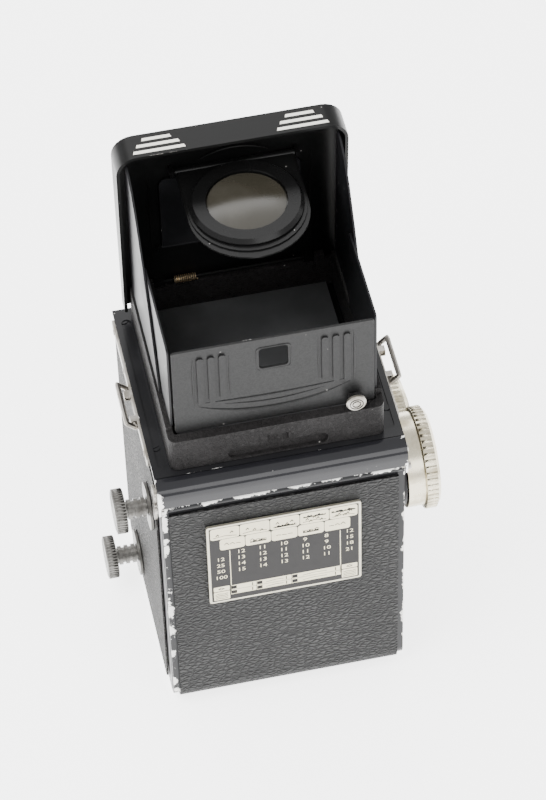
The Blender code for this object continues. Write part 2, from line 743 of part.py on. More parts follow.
def distance_scale():
    """The fixed distance scale around the focusing knob's root."""
    base = HALF_W + GAP
    return turned("distance_scale", tube(FOCUS_R - 0.5, FOCUS_SHAFT_R + 0.4, base + 1.2, base),
                  "-X", (0, *FOCUS), "enamel", ring=True, steps=36)


def focus_shaft():
    """The focusing shaft with its pinion inside the body."""
    outer = HALF_W + 1.9 - GAP
    inside = RACK_X[0] - 0.1
    teeth = []
    for tooth in range(PINION_TEETH):
        middle = 2 * math.pi * (tooth + 0.5) / PINION_TEETH
        for radius, turn in ((PINION_R - TOOTH - 0.15, -0.16), (PINION_R + TOOTH, -0.035),
                             (PINION_R + TOOTH, 0.035), (PINION_R - TOOTH - 0.15, 0.16)):
            teeth.append((FOCUS[0] + radius * math.cos(middle + turn),
                          FOCUS[1] + radius * math.sin(middle + turn)))
    middle_x = -(RACK_X[0] + RACK_X[1]) / 2
    pinion = plate("focus_shaft", [teeth], "yz", middle_x, RACK_X[1] - RACK_X[0] - 0.2, "steel")
    shaft = turned("focus_rod", rod(FOCUS_SHAFT_R, outer, inside + 0.6), "-X", (0, *FOCUS), None,
                   steps=20)
    return join(pinion, shaft)


# ---------------------------------------------------------------- front standard


def rack_space(clearance):
    """The rack's path through the front wall, as three ranges."""
    low = FOCUS[1] + PINION_R - TOOTH - clearance
    high = FOCUS[1] + PINION_R + TOOTH + RACK_H + clearance
    return ((-RACK_X[1] - clearance, -RACK_X[0] + clearance), (FRONT_Y - 5, INNER_FRONT + 2),
            (low, high))


def focus_rack():
    """The toothed bar that carries the front standard along."""
    pitch = 2 * math.pi * PINION_R / PINION_TEETH
    line = FOCUS[1] + PINION_R
    rear = FOCUS[0] + 6 * pitch
    front = -DECK_D - 0.4 + 0.3 - 0.9
    outline = [(rear, line + TOOTH + RACK_H), (front, line + TOOTH + RACK_H),
               (front, line + TOOTH + 0.15)]
    count = int((rear - front) / pitch)
    first = FOCUS[0] - (count - 6) * pitch
    for tooth in range(count):
        middle = first + tooth * pitch
        outline += [(middle - 0.5, line + TOOTH + 0.15), (middle - 0.13, line - TOOTH + 0.1),
                    (middle + 0.13, line - TOOTH + 0.1), (middle + 0.5, line + TOOTH + 0.15)]
    outline.append((rear, line + TOOTH + 0.15))
    middle_x = -(RACK_X[0] + RACK_X[1]) / 2
    return plate("focus_rack", [outline[::-1]], "yz", middle_x, RACK_X[1] - RACK_X[0] - 0.4,
                 "brass")


def lens_board():
    """The moving front plate with its guide rods and the two lens holes."""
    middle = (BOARD_FRONT - DECK_D - 0.4) / 2
    zs = (TAKING_Z - 29.0, TAKING_Z - 29.0 + BOARD_H)
    outline = rounded((-BOARD_W / 2, zs[0]), (BOARD_W / 2, zs[1]), (9, 9, 7, 7))
    board = plate("lens_board", [outline], "xz", middle, BOARD_T, "crackle")
    rods = [
        turned(f"guide_{side}_{label}", rod(GUIDE_R, GUIDE_L, 0), "Y",
               (GUIDE_X * side, BOARD_FRONT + 1, z), None, steps=16)
        for side in (-1, 1) for label, z in (("top", GUIDE_TOP), ("low", GUIDE_LOW))
    ]
    release_pin = turned("release_pin", [(0, 2.8), (1.4, 2.8), (1.4, 2.1), (0.8, 2.1),
                                         (0.8, -1.2), (0, -1.2)], "-Y",
                         (0, BOARD_FRONT, RELEASE_Z), None, steps=14)
    join(board, *rods, release_pin)
    rack_x, _, rack_z = rack_space(0.3)
    return cut(
        board,
        hole("cut_board_viewing", GLASS_R + 1.6, "Y", (0, middle, VIEWING_Z), 8),
        hole("cut_board_taking", GLASS_R + 1.6, "Y", (0, middle, TAKING_Z), 8),
        block("cut_board_rack", rack_x, (-DECK_D - 1.4, -DECK_D + 3), rack_z, None),
    )


def lens_barrel(name, z, base):
    """A lens barrel with its bayonet rim and stepped mouth."""
    front = FRONT_MOST - BOARD_FRONT
    start = base - BOARD_FRONT
    back = start - GAP
    profile = [(BARREL_R, front), (BARREL_R, front + 3.2), (BARREL_R - 1, front + 3.2),
               (BARREL_R - 1, back), (GLASS_R - 0.6, back), (GLASS_R - 0.6, back - 1.6),
               (GLASS_R + 0.4, back - 1.6), (GLASS_R + 0.4, front + 2.2),
               (BARREL_R - 1.6, front + 0.6), (BARREL_R - 1.6, front)]
    flipped = [(radius, -along) for radius, along in profile]
    return turned(name, flipped, "-Y", (0, BOARD_FRONT, z), "steel", ring=True)


def lens_glass(name, z, front):
    """A domed front element."""
    dome = 1.6
    radius = (GLASS_R ** 2 + dome ** 2) / (2 * dome)
    points = []
    for i in range(5):
        r = GLASS_R * i / 4
        points.append((r, math.sqrt(radius ** 2 - r ** 2) - radius))
    profile = points + [(GLASS_R, -dome - 1.0), (0, -dome - 1.0)]
    return turned(name, profile, "-Y", (0, front, z), "glass", steps=28)


def shutter_housing():
    """The round shutter case behind the taking lens."""
    back = -GAP
    front = back - SHUTTER_T
    profile = [(SHUTTER_R - 1.2, -front), (SHUTTER_R, -front - 1.2), (SHUTTER_R, -back),
               (GLASS_R + 1.2, -back), (GLASS_R + 1.2, -front)]
    return turned("shutter_housing", profile, "-Y", (0, BOARD_FRONT, TAKING_Z), "black_paint",
                  ring=True, steps=36)


def setting_lever(name, inner, angle):
    """A setting ring on the shutter's front with a small post to turn it by."""
    front = BOARD_FRONT - GAP - SHUTTER_T - GAP
    ring = turned(name, tube(inner + 2.8, inner, 0.8, 0), "-Y", (0, front, TAKING_Z), "steel",
                  ring=True)
    place = (inner + 1.4) * math.cos(math.radians(angle)), (inner + 1.4) * math.sin(
        math.radians(angle))
    return join(ring, turned(f"{name}_post", rod(1.0, 3.2, 0.3), "-Y",
                             (place[0], front, TAKING_Z + place[1]), None, steps=12))


def release_lever():
    """The cocking and release lever under the taking lens."""
    front = BOARD_FRONT - GAP
    pivot_z = RELEASE_Z
    outline = (arc((0, pivot_z), 2.2, 0, 180, 6) + [(-1.4, pivot_z - 3.2)]
               + arc((0, pivot_z - 4.0), 1.8, 200, 340, 5) + [(1.4, pivot_z - 3.2)])
    lever = plate("release_lever", [outline], "xz", front - 1.1, 1.4, "steel")
    return cut(lever, hole("cut_release_pin", 0.8 + RUNNING, "Y", (0, front - 1, pivot_z), 6))


def front_socket(name, x, z, radius, length):
    """A small round socket on the front plate."""
    profile = [(radius, length), (radius, GAP), (radius * 0.45, GAP), (radius * 0.45, length)]
    return turned(name, profile, "-Y", (x, BOARD_FRONT, z), "steel", ring=True, steps=20)


# ---------------------------------------------------------------- hood


def hood_base():
    """The raised frame around the screen, with hinge cheeks and the catch lug."""
    half = RIDGE_W / 2
    outline = [rounded((-half, RIDGE_FRONT), (half, RIDGE_REAR), (1.5, 1.5, 2.5, 2.5)),
               rounded((-half + RIDGE_WALL, RIDGE_FRONT + RIDGE_WALL),
                       (half - RIDGE_WALL, RIDGE_REAR - RIDGE_REAR_WALL), (1,) * 4)]
    base = plate("hood_base", outline, "xy", (GAP + RIDGE_H) / 2, RIDGE_H - GAP, "crackle")
    for side, top in ((1, LEFT_AXIS_Z), (-1, RIGHT_AXIS_Z)):
        join(base, block(f"cheek_{side}", sorted((side * (half - RIDGE_WALL), side * half)),
                         (-63.5, -6.5), (RIDGE_H - 1, top - 0.9), None))
    join(base, block("catch_lug", (CATCH_X - 1.8, CATCH_X + 1.8), (-4.3, -3.1),
                     (RIDGE_H - 1, CATCH_Z + 1.9), None))
    recess = [
        plate("cut_recess", [rounded((-15.2, 1.2), (15.2, 5.6), (2.1,) * 4)], "xz", RIDGE_REAR,
              2.2, None),
        block("cut_recess_tab", (-3.2, 3.2), (RIDGE_REAR - 1.1, RIDGE_REAR + 1), (5, 8.8), None),
    ]
    front_low = block("cut_front_low", (-30.6, 30.6), (RIDGE_FRONT - 1, RIDGE_FRONT + 2.4),
                      (LID_AXIS[1] - 1.6, 30), None)
    lugs = [block(f"lid_lug_{side}", sorted((side * 25, side * 28)),
                  (LID_AXIS[0] - 0.7, LID_AXIS[0] + 1.2),
                  (LID_AXIS[1] - 3, LID_AXIS[1] + 1.2), None) for side in (-1, 1)]
    cut(base, *recess, front_low)
    join(base, *lugs)
    return cut(base,
               hole("cut_lug_pin", 0.7, "X", (0, *LID_AXIS), 64),
               hole("cut_catch", 1.1, "Y", (CATCH_X, -4, CATCH_Z), 6))


def catch_button():
    """The round button that frees the lid."""
    profile = [(0, 1.4), (2.6, 1.4), (3.05, 1.0), (3.05, 0.3), (0.8, 0.3), (0.8, -1.2), (0, -1.2)]
    return turned("catch_button", profile, "Y", (CATCH_X, -2.6, CATCH_Z), "steel", steps=28)


def lid():
    """The pan-shaped lid, standing open in front of the screen."""
    axis_y, axis_z = LID_AXIS
    top, bottom = axis_z + LID_LENGTH, axis_z - LID_BELOW
    half = LID_W / 2
    radii = (0.5, 0.5, LID_CORNER, LID_CORNER)
    inner_radii = (0.5, 0.5, LID_CORNER - LID_T, LID_CORNER - LID_T)
    rear = LID_FRONT + LID_FLANGE
    shell = plate("lid", [rounded((-half, bottom), (half, top), radii, 6)], "xz",
                  (LID_FRONT + rear) / 2, LID_FLANGE, "black_paint")
    inside = plate("cut_lid", [rounded((-half + LID_T, bottom - 4), (half - LID_T, top - LID_T),
                                       inner_radii, 6)], "xz",
                   LID_FRONT + LID_T + 10, 20, None)
    slope = math.atan2(4.4, 63.0)
    low_edge = LID_FRONT + 4.4
    trim = block("cut_lid_slope", (-50, 50), (0, 40), (-20, 66), None,
                 turn=Euler((-slope, 0, 0)))
    trim.location = world(0, low_edge + 20 * math.cos(slope) + 23 * math.sin(slope),
                          bottom + 23 * math.cos(slope) - 20 * math.sin(slope))
    cut(shell, inside, trim)
    ears = [block(f"magnifier_ear_{side}", sorted((MAGNIFIER_X + side * 18.3,
                                                   MAGNIFIER_X + side * 19.5)),
                  (LID_FRONT + 0.5, MAGNIFIER_AXIS[0] + 1.1),
                  (MAGNIFIER_AXIS[1] - 1.1, MAGNIFIER_AXIS[1] + 1.1), None) for side in (-1, 1)]
    ears += [block(f"lid_ear_{side}", sorted((side * 21.6, side * 24.7)),
                   (LID_FRONT + 0.5, axis_y + 1.1), (axis_z - 1.1, axis_z + 1.1), None)
             for side in (-1, 1)]
    ears += [block(f"flap_ear_{side}", sorted((side * (FLAP_W / 2 + 0.3), side * (FLAP_W / 2 + 1.5))),
                   (LID_FRONT + 0.5, FLAP_Y + 0.9), (FLAP_AXIS_Z - 1, FLAP_AXIS_Z + 1), None)
             for side in (-1, 1)]
    join(shell, *ears)
    cut(shell, hole("cut_lid_pin", 0.7, "X", (0, *LID_AXIS), 56),
        hole("cut_flap_pin", 0.65, "X", (0, FLAP_Y, FLAP_AXIS_Z), FLAP_W + 6))
    return join(shell, turned("magnifier_pin", rod(0.45, 19.2, -19.2), "X",
                              (MAGNIFIER_X, *MAGNIFIER_AXIS), None, steps=12))


def lid_hinge_pin():
    """The pin through the lid's hinge."""
    return turned("lid_hinge_pin", rod(0.5, 28.2, -28.2), "X", (0, *LID_AXIS), "brass", steps=14)


def finder_flap():
    """The direct-vision flap inside the lid."""
    outline = rounded((-FLAP_W / 2, FLAP_Z[0]), (FLAP_W / 2, FLAP_Z[1]), (0.6, 0.6, 2.5, 2.5))
    flap = plate("finder_flap", [outline], "xz", FLAP_Y, 0.6, "crackle")
    pins = turned("flap_pins", rod(0.4, FLAP_W / 2 + 1.3, -FLAP_W / 2 - 1.3), "X",
                  (0, FLAP_Y, FLAP_AXIS_Z), None, steps=12)
    return join(flap, pins)


def magnifier_arm():
    """The D-shaped plate that carries the magnifier, with a step along its round end."""
    hinge_y, axis_z = MAGNIFIER_AXIS
    inner = arc((MAGNIFIER_X, MAGNIFIER_Y), MAGNIFIER_LENS_R + 0.4, 0, 350, 27)

    def step(name, half, end, low, high, finish):
        """One layer of the plate."""
        outer = [(MAGNIFIER_X - half, hinge_y), (MAGNIFIER_X + half, hinge_y)]
        outer += arc((MAGNIFIER_X, MAGNIFIER_Y + end), half, 0, 180, 18)
        return plate(name, [outer, inner], "xy", axis_z + (low + high) / 2, high - low, finish)

    half = MAGNIFIER_W / 2
    arm = step("magnifier_arm", half, MAGNIFIER_END, -MAGNIFIER_T / 2, 0.05, "black_paint")
    upper = step("magnifier_step", half - 0.5, MAGNIFIER_END - 1.8, -0.1, MAGNIFIER_T / 2, None)
    knuckle = turned("magnifier_knuckle", rod(1.0, half, -half), "X",
                     (MAGNIFIER_X, *MAGNIFIER_AXIS), None, steps=16)
    join(arm, upper, knuckle)
    return cut(arm, hole("cut_magnifier_knuckle", 0.68, "X", (0, *MAGNIFIER_AXIS), 44))


def magnifier_ring():
    """The retaining ring around the magnifying lens."""
    base = MAGNIFIER_T / 2 + GAP
    profile = [(RING_R - 1.0, base + 1.6), (RING_R, base + 0.4), (RING_R, base),
               (MAGNIFIER_LENS_R - 0.4, base), (MAGNIFIER_LENS_R - 0.4, base + 1.6)]
    return turned("magnifier_ring", profile, "Z", (MAGNIFIER_X, MAGNIFIER_Y, MAGNIFIER_AXIS[1]),
                  "black_paint", ring=True, steps=36)


def magnifier_lens():
    """The magnifying lens, held under the ring."""
    dome = 1.0
    radius = (MAGNIFIER_LENS_R ** 2 + dome ** 2) / (2 * dome)
    top = []
    for i in range(6):
        r = (MAGNIFIER_LENS_R - 0.8) * i / 5
        top.append((r, math.sqrt(radius ** 2 - r ** 2) - radius + 2.2))
    rim = MAGNIFIER_T / 2 + 0.05
    profile = top + [(MAGNIFIER_LENS_R - 0.8, rim), (MAGNIFIER_LENS_R, rim),
                     (MAGNIFIER_LENS_R, -MAGNIFIER_T / 2), (0, -MAGNIFIER_T / 2 - 0.3)]
    return turned("magnifier_lens", profile, "Z", (MAGNIFIER_X, MAGNIFIER_Y, MAGNIFIER_AXIS[1]),
                  "glass", steps=32)


def back_panel():
    """The rear panel of the hood with its eye hole and pressed ribs."""
    half = BACK_PANEL_W / 2
    bottom = BACK_AXIS_Z - 0.5
    top = bottom + BACK_PANEL_H
    hole_z = (bottom + 22.2, bottom + 22.2 + EYE_HOLE)
    outline = [rounded((-half, bottom), (half, top), (1, 1, 1, 1)),
               rounded((-EYE_HOLE / 2, hole_z[0]), (EYE_HOLE / 2, hole_z[1]), (1.2,) * 4)]
    panel = plate("back_panel", outline, "xz", BACK_PANEL_Y, BACK_PANEL_T, "crackle")
    for side in (-1, 1):
        for column in range(3):
            x = side * (15.2 + column * 3.3)
            foot = bottom + 12.5 - 0.9 * column
            join(panel, plate(f"rib_{side}_{column}",
                              [rounded((x - 1.0, foot), (x + 1.0, bottom + 31.6), (0.9,) * 4, 4)],
                              "xz", BACK_PANEL_Y + 0.55, 0.8, None))
    return panel


def front_leaf(name, side, axis_z):
    """The tall side leaf, cut in a sweep from the lid down to the rear of the ridge."""
    foot = axis_z - 0.6
    sweep = [(-20.0, foot), (-24.4, 24.5), (-30.6, 38.0), (-38.2, 52.5), (-45.0, 63.0),
             (-50.5, 69.2), (-55.0, LEAF_TOP), (-59.4, LEAF_TOP)]
    outline = [(-63.9, foot)] + sweep
    return plate(name, [outline], "yz", side * FRONT_LEAF_X, SHEET, "black_paint")


def rear_leaf(name, side, axis_z):
    """The short side leaf between the tall one and the back panel."""
    foot = axis_z - 0.35
    outline = rounded((-40.5, foot), (-6.4, 48.2), (0.5, 0.5, 1.2, 1.2), 4)
    return plate(name, [outline], "yz", side * REAR_LEAF_X, SHEET, "crackle")


def strap_bail(name, side):
    """A rectangular wire bail with its ends turned into the eyes of the rail."""
    x0, z0 = BAIL_AXIS
    half = BAIL_L / 2 - WIRE_R
    inner = BAIL_L / 2 - 4.4
    out_x, out_z = x0 + BAIL_OUT, z0 + BAIL_UP
    bend = 0.35
    path = [(x0, -inner, z0), (x0, -half, z0), (out_x, -half, out_z)]
    path += [(x, -y, z) for x, y, z in reversed(path)]
    route = []
    for i, here in enumerate(path):
        here = Vector(here)
        if i in (0, len(path) - 1):
            route.append(here)
            continue
        before, after = Vector(path[i - 1]), Vector(path[i + 1])
        route.append(here + (before - here).normalized() * bend * 2)
        route.append(here)
        route.append(here + (after - here).normalized() * bend * 2)
    points = [(side * p.x, BAIL_Y + p.y, p.z) for p in route]
    return wire(name, points, WIRE_R, "steel")


# ---------------------------------------------------------------- assembly


def collection(name):
    """A new collection under the scene's own."""
    made = bpy.data.collections.new(name)
    bpy.context.scene.collection.children.link(made)
    return made


for old in list(bpy.data.objects):
    bpy.data.objects.remove(old)
CAMERA = collection("twin_lens_reflex_camera")
CUTTERS = collection("cutters")


def build():
    """Make every piece and hang the moving ones on their joints."""
    body_casting()
    top_deck()
    hinge_bar()
    door_hinge_pin()
    for name, side in (("left", 1), ("right", -1)):
        side_rail(f"side_rail_{name}", side)
        side_leather(f"side_leather_{name}", side)
        bail = strap_bail(f"strap_bail_{name}", side)
        pivot(f"axis_bail_{name}", side * BAIL_AXIS[0], BAIL_Y, BAIL_AXIS[1], bail)
    hood_base()
    screen_frame()
    focusing_screen()
    mirror_carrier()
    mirror_glass()
    light_chamber()
    distance_scale()
    lid_hinge_pin()
    for name, centre in (("upper", TAKE_UP), ("lower", SUPPLY)):
        knob_flange(f"knob_flange_{name}", centre)
        pivot(f"axis_spool_knob_{name}", HALF_W, *centre, spool_knob(f"spool_knob_{name}", centre))
    for name, z in (("upper", ROLLER_UPPER), ("lower", ROLLER_LOWER)):
        pivot(f"axis_roller_{name}", 0, FILM_Y - ROLLER_R, z, film_roller(f"roller_{name}", z))
    pivot("axis_take_up", 0, *TAKE_UP, wind_knob(), wind_shaft())
    pivot("axis_spool", 0, *TAKE_UP, take_up_spool())
    pivot("axis_counter", 0, *TAKE_UP, counter_dial())
    pivot("axis_focus", 0, *FOCUS, focus_knob(), focus_shaft())
    build_door()
    build_standard()
    build_hood()


def build_door():
    """The door and what is fixed on it."""
    pivot("axis_door", 0, HINGE_Y, HINGE_Z, back_door(), back_leather(), exposure_table(),
          pressure_spring(), tripod_bush())
    pivot("axis_pressure_plate", 0, FILM_Y, TAKING_Z, pressure_plate())
    pivot("axis_latch", 0, LATCH_Y, DOOR_BOTTOM, door_latch())


def build_standard():
    """The front standard with the lenses and the shutter's controls."""
    shutter_front = BOARD_FRONT - GAP - SHUTTER_T
    pivot("axis_standard", 0, BOARD_FRONT, TAKING_Z, lens_board(), focus_rack(),
          lens_barrel("viewing_lens_barrel", VIEWING_Z, BOARD_FRONT),
          lens_glass("viewing_lens", VIEWING_Z, FRONT_MOST + LENS_RECESS),
          shutter_housing(), lens_barrel("taking_lens_barrel", TAKING_Z, shutter_front),
          lens_glass("taking_lens", TAKING_Z, FRONT_MOST + LENS_RECESS),
          front_socket("sync_socket", 25.0, TAKING_Z - 16.5, 2.4, 5.0),
          front_socket("cable_socket", -25.0, TAKING_Z - 16.5, 2.0, 6.0))
    pivot("axis_stop", 0, shutter_front, TAKING_Z, setting_lever("stop_lever", BARREL_R + 0.4, 150))
    pivot("axis_speed", 0, shutter_front, TAKING_Z, setting_lever("speed_lever", BARREL_R + 3.6, 30))
    pivot("axis_release", 0, BOARD_FRONT, RELEASE_Z, release_lever())


def build_hood():
    """The folding hood: lid with its magnifier and flap, back panel and side leaves."""
    pivot("axis_lid", 0, *LID_AXIS, lid())
    pivot("axis_magnifier", 0, *MAGNIFIER_AXIS, magnifier_arm(), magnifier_ring(),
          magnifier_lens())
    pivot("axis_flap", 0, FLAP_Y, FLAP_AXIS_Z, finder_flap())
    pivot("axis_back_panel", 0, BACK_PANEL_Y, BACK_AXIS_Z, back_panel())
    pivot("axis_catch", CATCH_X, -2.6, CATCH_Z, catch_button())
    for name, side, z in (("left", 1, LEFT_AXIS_Z), ("right", -1, RIGHT_AXIS_Z)):
        front_leaf(f"front_leaf_{name}", side, z)
        pivot(f"axis_leaf_{name}", side * REAR_LEAF_X, -23.5, z,
              rear_leaf(f"rear_leaf_{name}", side, z))


build()
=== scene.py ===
"""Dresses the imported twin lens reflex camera: finishes, small fittings, stage, lights and camera.

Places are written in camera coordinates, in millimetres: x to the holder's left, y from the
deck's rear edge (negative towards the lenses) and z from the deck.  ``place`` turns them into the
frame's metres.
"""

from __future__ import annotations

import json
import logging
import math
from dataclasses import dataclass, field
from enum import Enum

import bmesh
import bpy
from mathutils import Matrix, Vector

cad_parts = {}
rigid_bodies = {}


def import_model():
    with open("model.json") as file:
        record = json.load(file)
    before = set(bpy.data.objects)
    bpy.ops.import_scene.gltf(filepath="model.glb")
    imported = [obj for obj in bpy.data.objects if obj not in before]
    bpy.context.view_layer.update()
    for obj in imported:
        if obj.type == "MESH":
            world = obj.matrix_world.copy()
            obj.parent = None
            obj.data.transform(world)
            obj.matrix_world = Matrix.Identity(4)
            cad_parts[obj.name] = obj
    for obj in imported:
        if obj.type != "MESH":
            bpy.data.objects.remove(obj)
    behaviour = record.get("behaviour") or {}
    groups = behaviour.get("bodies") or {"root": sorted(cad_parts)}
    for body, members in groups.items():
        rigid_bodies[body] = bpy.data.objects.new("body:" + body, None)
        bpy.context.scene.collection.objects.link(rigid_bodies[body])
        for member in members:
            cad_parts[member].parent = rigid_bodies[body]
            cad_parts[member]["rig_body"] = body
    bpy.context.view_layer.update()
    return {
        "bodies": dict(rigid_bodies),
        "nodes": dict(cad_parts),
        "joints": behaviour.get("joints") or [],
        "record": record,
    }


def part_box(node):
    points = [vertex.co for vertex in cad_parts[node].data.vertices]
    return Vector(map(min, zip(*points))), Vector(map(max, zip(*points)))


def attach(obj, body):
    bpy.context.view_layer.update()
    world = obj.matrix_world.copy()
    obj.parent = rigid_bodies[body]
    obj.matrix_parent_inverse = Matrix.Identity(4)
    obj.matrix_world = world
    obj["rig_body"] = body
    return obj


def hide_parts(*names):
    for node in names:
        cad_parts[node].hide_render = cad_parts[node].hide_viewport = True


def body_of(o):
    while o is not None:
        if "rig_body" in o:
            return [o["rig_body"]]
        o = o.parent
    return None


LOG = logging.getLogger("reflex_camera")
MM = 0.001
DECK_REAR = 40.95      # deck's rear edge in the frame, mm
DECK_HEIGHT = 107.25   # deck above the ground, mm
KNOB_END = 49.4        # end faces of the knobs, from the middle
BOARD_FACE = -71.6     # front of the lens board
TAKING_Z = -70.0       # height of the taking lens
TAKE_UP = (-12.9, -28.0)     # knob axes, y and z
SUPPLY = (-46.6, -92.8)
FOCUS = (-42.5, -48.0)
INK_THICKNESS = 0.00003      # metres
TABLE_FACE = 6.2       # nominal face of the exposure table
ROUND_NODES = {        # nodes whose rounded faces are shown smooth, by record slot
    "black_enamel": ("magnifier_ring", "magnifier_arm", "lid", "hinge_bar", "back_door",
                     "take_up_spool", "front_leaf_left", "front_leaf_right"),
    "crackle_enamel": ("hood_base", "back_panel"),
    "enamelled_casting": ("shutter_housing", "lens_board", "body_casting"),
    "covering_leather": ("back_leather",),
    "optical_glass": ("magnifier_lens", "viewing_lens", "taking_lens"),
    "turned_aluminium": ("wind_knob", "focus_knob", "spool_knob_upper", "spool_knob_lower",
                         "knob_flange_upper", "knob_flange_lower"),
    "table_enamel": ("counter_dial", "distance_scale"),
    "bright_steel": ("viewing_lens_barrel", "taking_lens_barrel", "strap_bail_left",
                     "strap_bail_right", "catch_button", "tripod_bush", "roller_upper",
                     "roller_lower", "wind_shaft", "focus_shaft", "door_hinge_pin",
                     "sync_socket", "cable_socket", "stop_lever", "speed_lever"),
}


def place(x: float, y: float, z: float) -> Vector:
    """Turn camera coordinates in millimetres into frame metres.

    Args:
        x: To the holder's left.
        y: From the deck's rear edge.
        z: From the deck.

    Returns:
        The point in metres.
    """
    return Vector((x * MM, (y + DECK_REAR) * MM, (z + DECK_HEIGHT) * MM))


def middle_and_half(node: str) -> tuple[Vector, Vector]:
    """The middle and the half size of a node's box.

    Args:
        node: The node's name.

    Returns:
        Both as vectors in metres.
    """
    low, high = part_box(node)
    return (low + high) / 2, (high - low) / 2


# ---------------------------------------------------------------- shader node groups


class Graph:
    """A thin helper around a node tree that keeps node building short."""

    def __init__(self, tree: bpy.types.NodeTree) -> None:
        """Keep the tree."""
        self.tree = tree

    def node(self, kind: str, /, **settings: object) -> bpy.types.Node:
        """Add a node.

        Args:
            kind: The node's type name.
            **settings: Properties, or sockets given as ``in_NAME`` or ``in_INDEX``.

        Returns:
            The new node.
        """
        made = self.tree.nodes.new(kind)
        for key, value in settings.items():
            if key.startswith("in_"):
                self.feeds(made, **{key[3:]: value})
            else:
                setattr(made, key, value)
        return made

    def feed(self, socket: bpy.types.NodeSocket, value: object) -> None:
        """Link a socket to another node's output, or set its value."""
        if isinstance(value, bpy.types.NodeSocket):
            self.tree.links.new(value, socket)
        else:
            socket.default_value = value

    def feeds(self, node: bpy.types.Node, **values: object) -> None:
        """Feed inputs given by number, or by name with underscores for spaces."""
        for key, value in values.items():
            self.feed(node.inputs[int(key) if key.isdigit() else key.replace("_", " ")], value)

    def noise(self, where: object, scale: object, detail: float,
              **more: object) -> bpy.types.Node:
        """Add a noise texture."""
        return self.node("ShaderNodeTexNoise", in_Vector=where, in_Scale=scale,
                         in_Detail=detail, **more)

    def vector(self, operation: str, *values: object) -> bpy.types.NodeSocket:
        """Return the output of a Vector Math node."""
        made = self.node("ShaderNodeVectorMath", operation=operation)
        for socket, value in zip(made.inputs, values):
            self.feed(socket, value)
        return made.outputs[0]

    def maths(self, operation: str, *values: object, clamp: bool = False) -> bpy.types.NodeSocket:
        """Return the output of a Math node.

        Args:
            operation: The node's operation.
            *values: Sockets or numbers.
            clamp: Whether the result is kept between 0 and 1.

        Returns:
            The output socket.
        """
        made = self.node("ShaderNodeMath", operation=operation, use_clamp=clamp)
        for socket, value in zip(made.inputs, values):
            self.feed(socket, value)
        return made.outputs[0]

    def ramp(self, value: object, low: float, high: float) -> bpy.types.NodeSocket:
        """Return a smooth step of a value between two bounds."""
        return self.node("ShaderNodeMapRange", interpolation_type="SMOOTHSTEP", in_Value=value,
                         in_From_Min=low, in_From_Max=high).outputs["Result"]

    def mix(self, share: object, first: object, second: object) -> bpy.types.NodeSocket:
        """Return a colour between two colours."""
        return self.node("ShaderNodeMix", data_type="RGBA", in_Factor=share, in_6=first,
                         in_7=second).outputs[2]


def new_group(name: str, inputs: dict[str, tuple[str, object]],
              outputs: dict[str, str]) -> tuple[bpy.types.NodeTree, Graph, object, object]:
    """Make an empty shader node group.

    Args:
        name: The group's name.
        inputs: Socket names to their type and default.
        outputs: Socket names to their type.

    Returns:
        The tree, its helper, the input node and the output node.
    """
    tree = bpy.data.node_groups.new(name, "ShaderNodeTree")
    for key, (kind, value) in inputs.items():
        socket = tree.interface.new_socket(key, in_out="INPUT", socket_type=kind)
        if value is not None:
            socket.default_value = value
    for key, kind in outputs.items():
        tree.interface.new_socket(key, in_out="OUTPUT", socket_type=kind)
    graph = Graph(tree)
    return tree, graph, graph.node("NodeGroupInput"), graph.node("NodeGroupOutput")


VECTOR, FLOAT = "NodeSocketVector", "NodeSocketFloat"


def leather_grain_group() -> bpy.types.NodeTree:
    """Pebbled, slightly stretched leather grain.

    Returns:
        A group giving the grain's height and the mask of its tops, lit by a painted highlight.
    """
    tree, g, gin, gout = new_group(
        "leather_grain",
        {"Place": (VECTOR, None), "Grains per metre": (FLOAT, 700.0), "Warp": (FLOAT, 0.0007)},
        {"Height": FLOAT, "Tops": FLOAT})
    where = gin.outputs["Place"]
    warp = g.noise(where, 420.0, 2.0)
    centred = g.vector("SUBTRACT", warp.outputs["Color"], (0.5, 0.5, 0.5))
    scaled = g.node("ShaderNodeVectorMath", operation="SCALE", in_0=centred,
                    in_Scale=gin.outputs["Warp"])
    stretched = g.vector("MULTIPLY", g.vector("ADD", where, scaled.outputs[0]),
                         (0.62, 0.9, 1.1))
    cells = g.node("ShaderNodeTexVoronoi", feature="DISTANCE_TO_EDGE", in_Vector=stretched,
                   in_Scale=gin.outputs["Grains per metre"])
    pebble = g.ramp(cells.outputs["Distance"], 0.0, 0.34)
    fine = g.noise(where, 2600.0, 3.0)
    height = g.maths("ADD", g.maths("MULTIPLY", pebble, 0.8),
                     g.maths("MULTIPLY", fine.outputs["Fac"], 0.35))
    g.feeds(gout, Height=height, Tops=g.ramp(height, 0.2, 0.95))
    return tree


def crackle_group() -> bpy.types.NodeTree:
    """Fine wrinkle enamel.

    Returns:
        A group giving the wrinkle's height and a mask of its crests.
    """
    tree, g, gin, gout = new_group(
        "wrinkle", {"Place": (VECTOR, None), "Wrinkles per metre": (FLOAT, 800.0)},
        {"Height": FLOAT, "Crests": FLOAT})
    noise = g.noise(gin.outputs["Place"], gin.outputs["Wrinkles per metre"], 4.0,
                    in_Roughness=0.65, in_Distortion=0.6)
    ridge = g.maths("ABSOLUTE", g.maths("SUBTRACT", noise.outputs["Fac"], 0.5))
    height = g.maths("SUBTRACT", 1.0, g.maths("MULTIPLY", ridge, 6.0), clamp=True)
    g.feeds(gout, Height=height, Crests=g.ramp(height, 0.55, 1.0))
    return tree


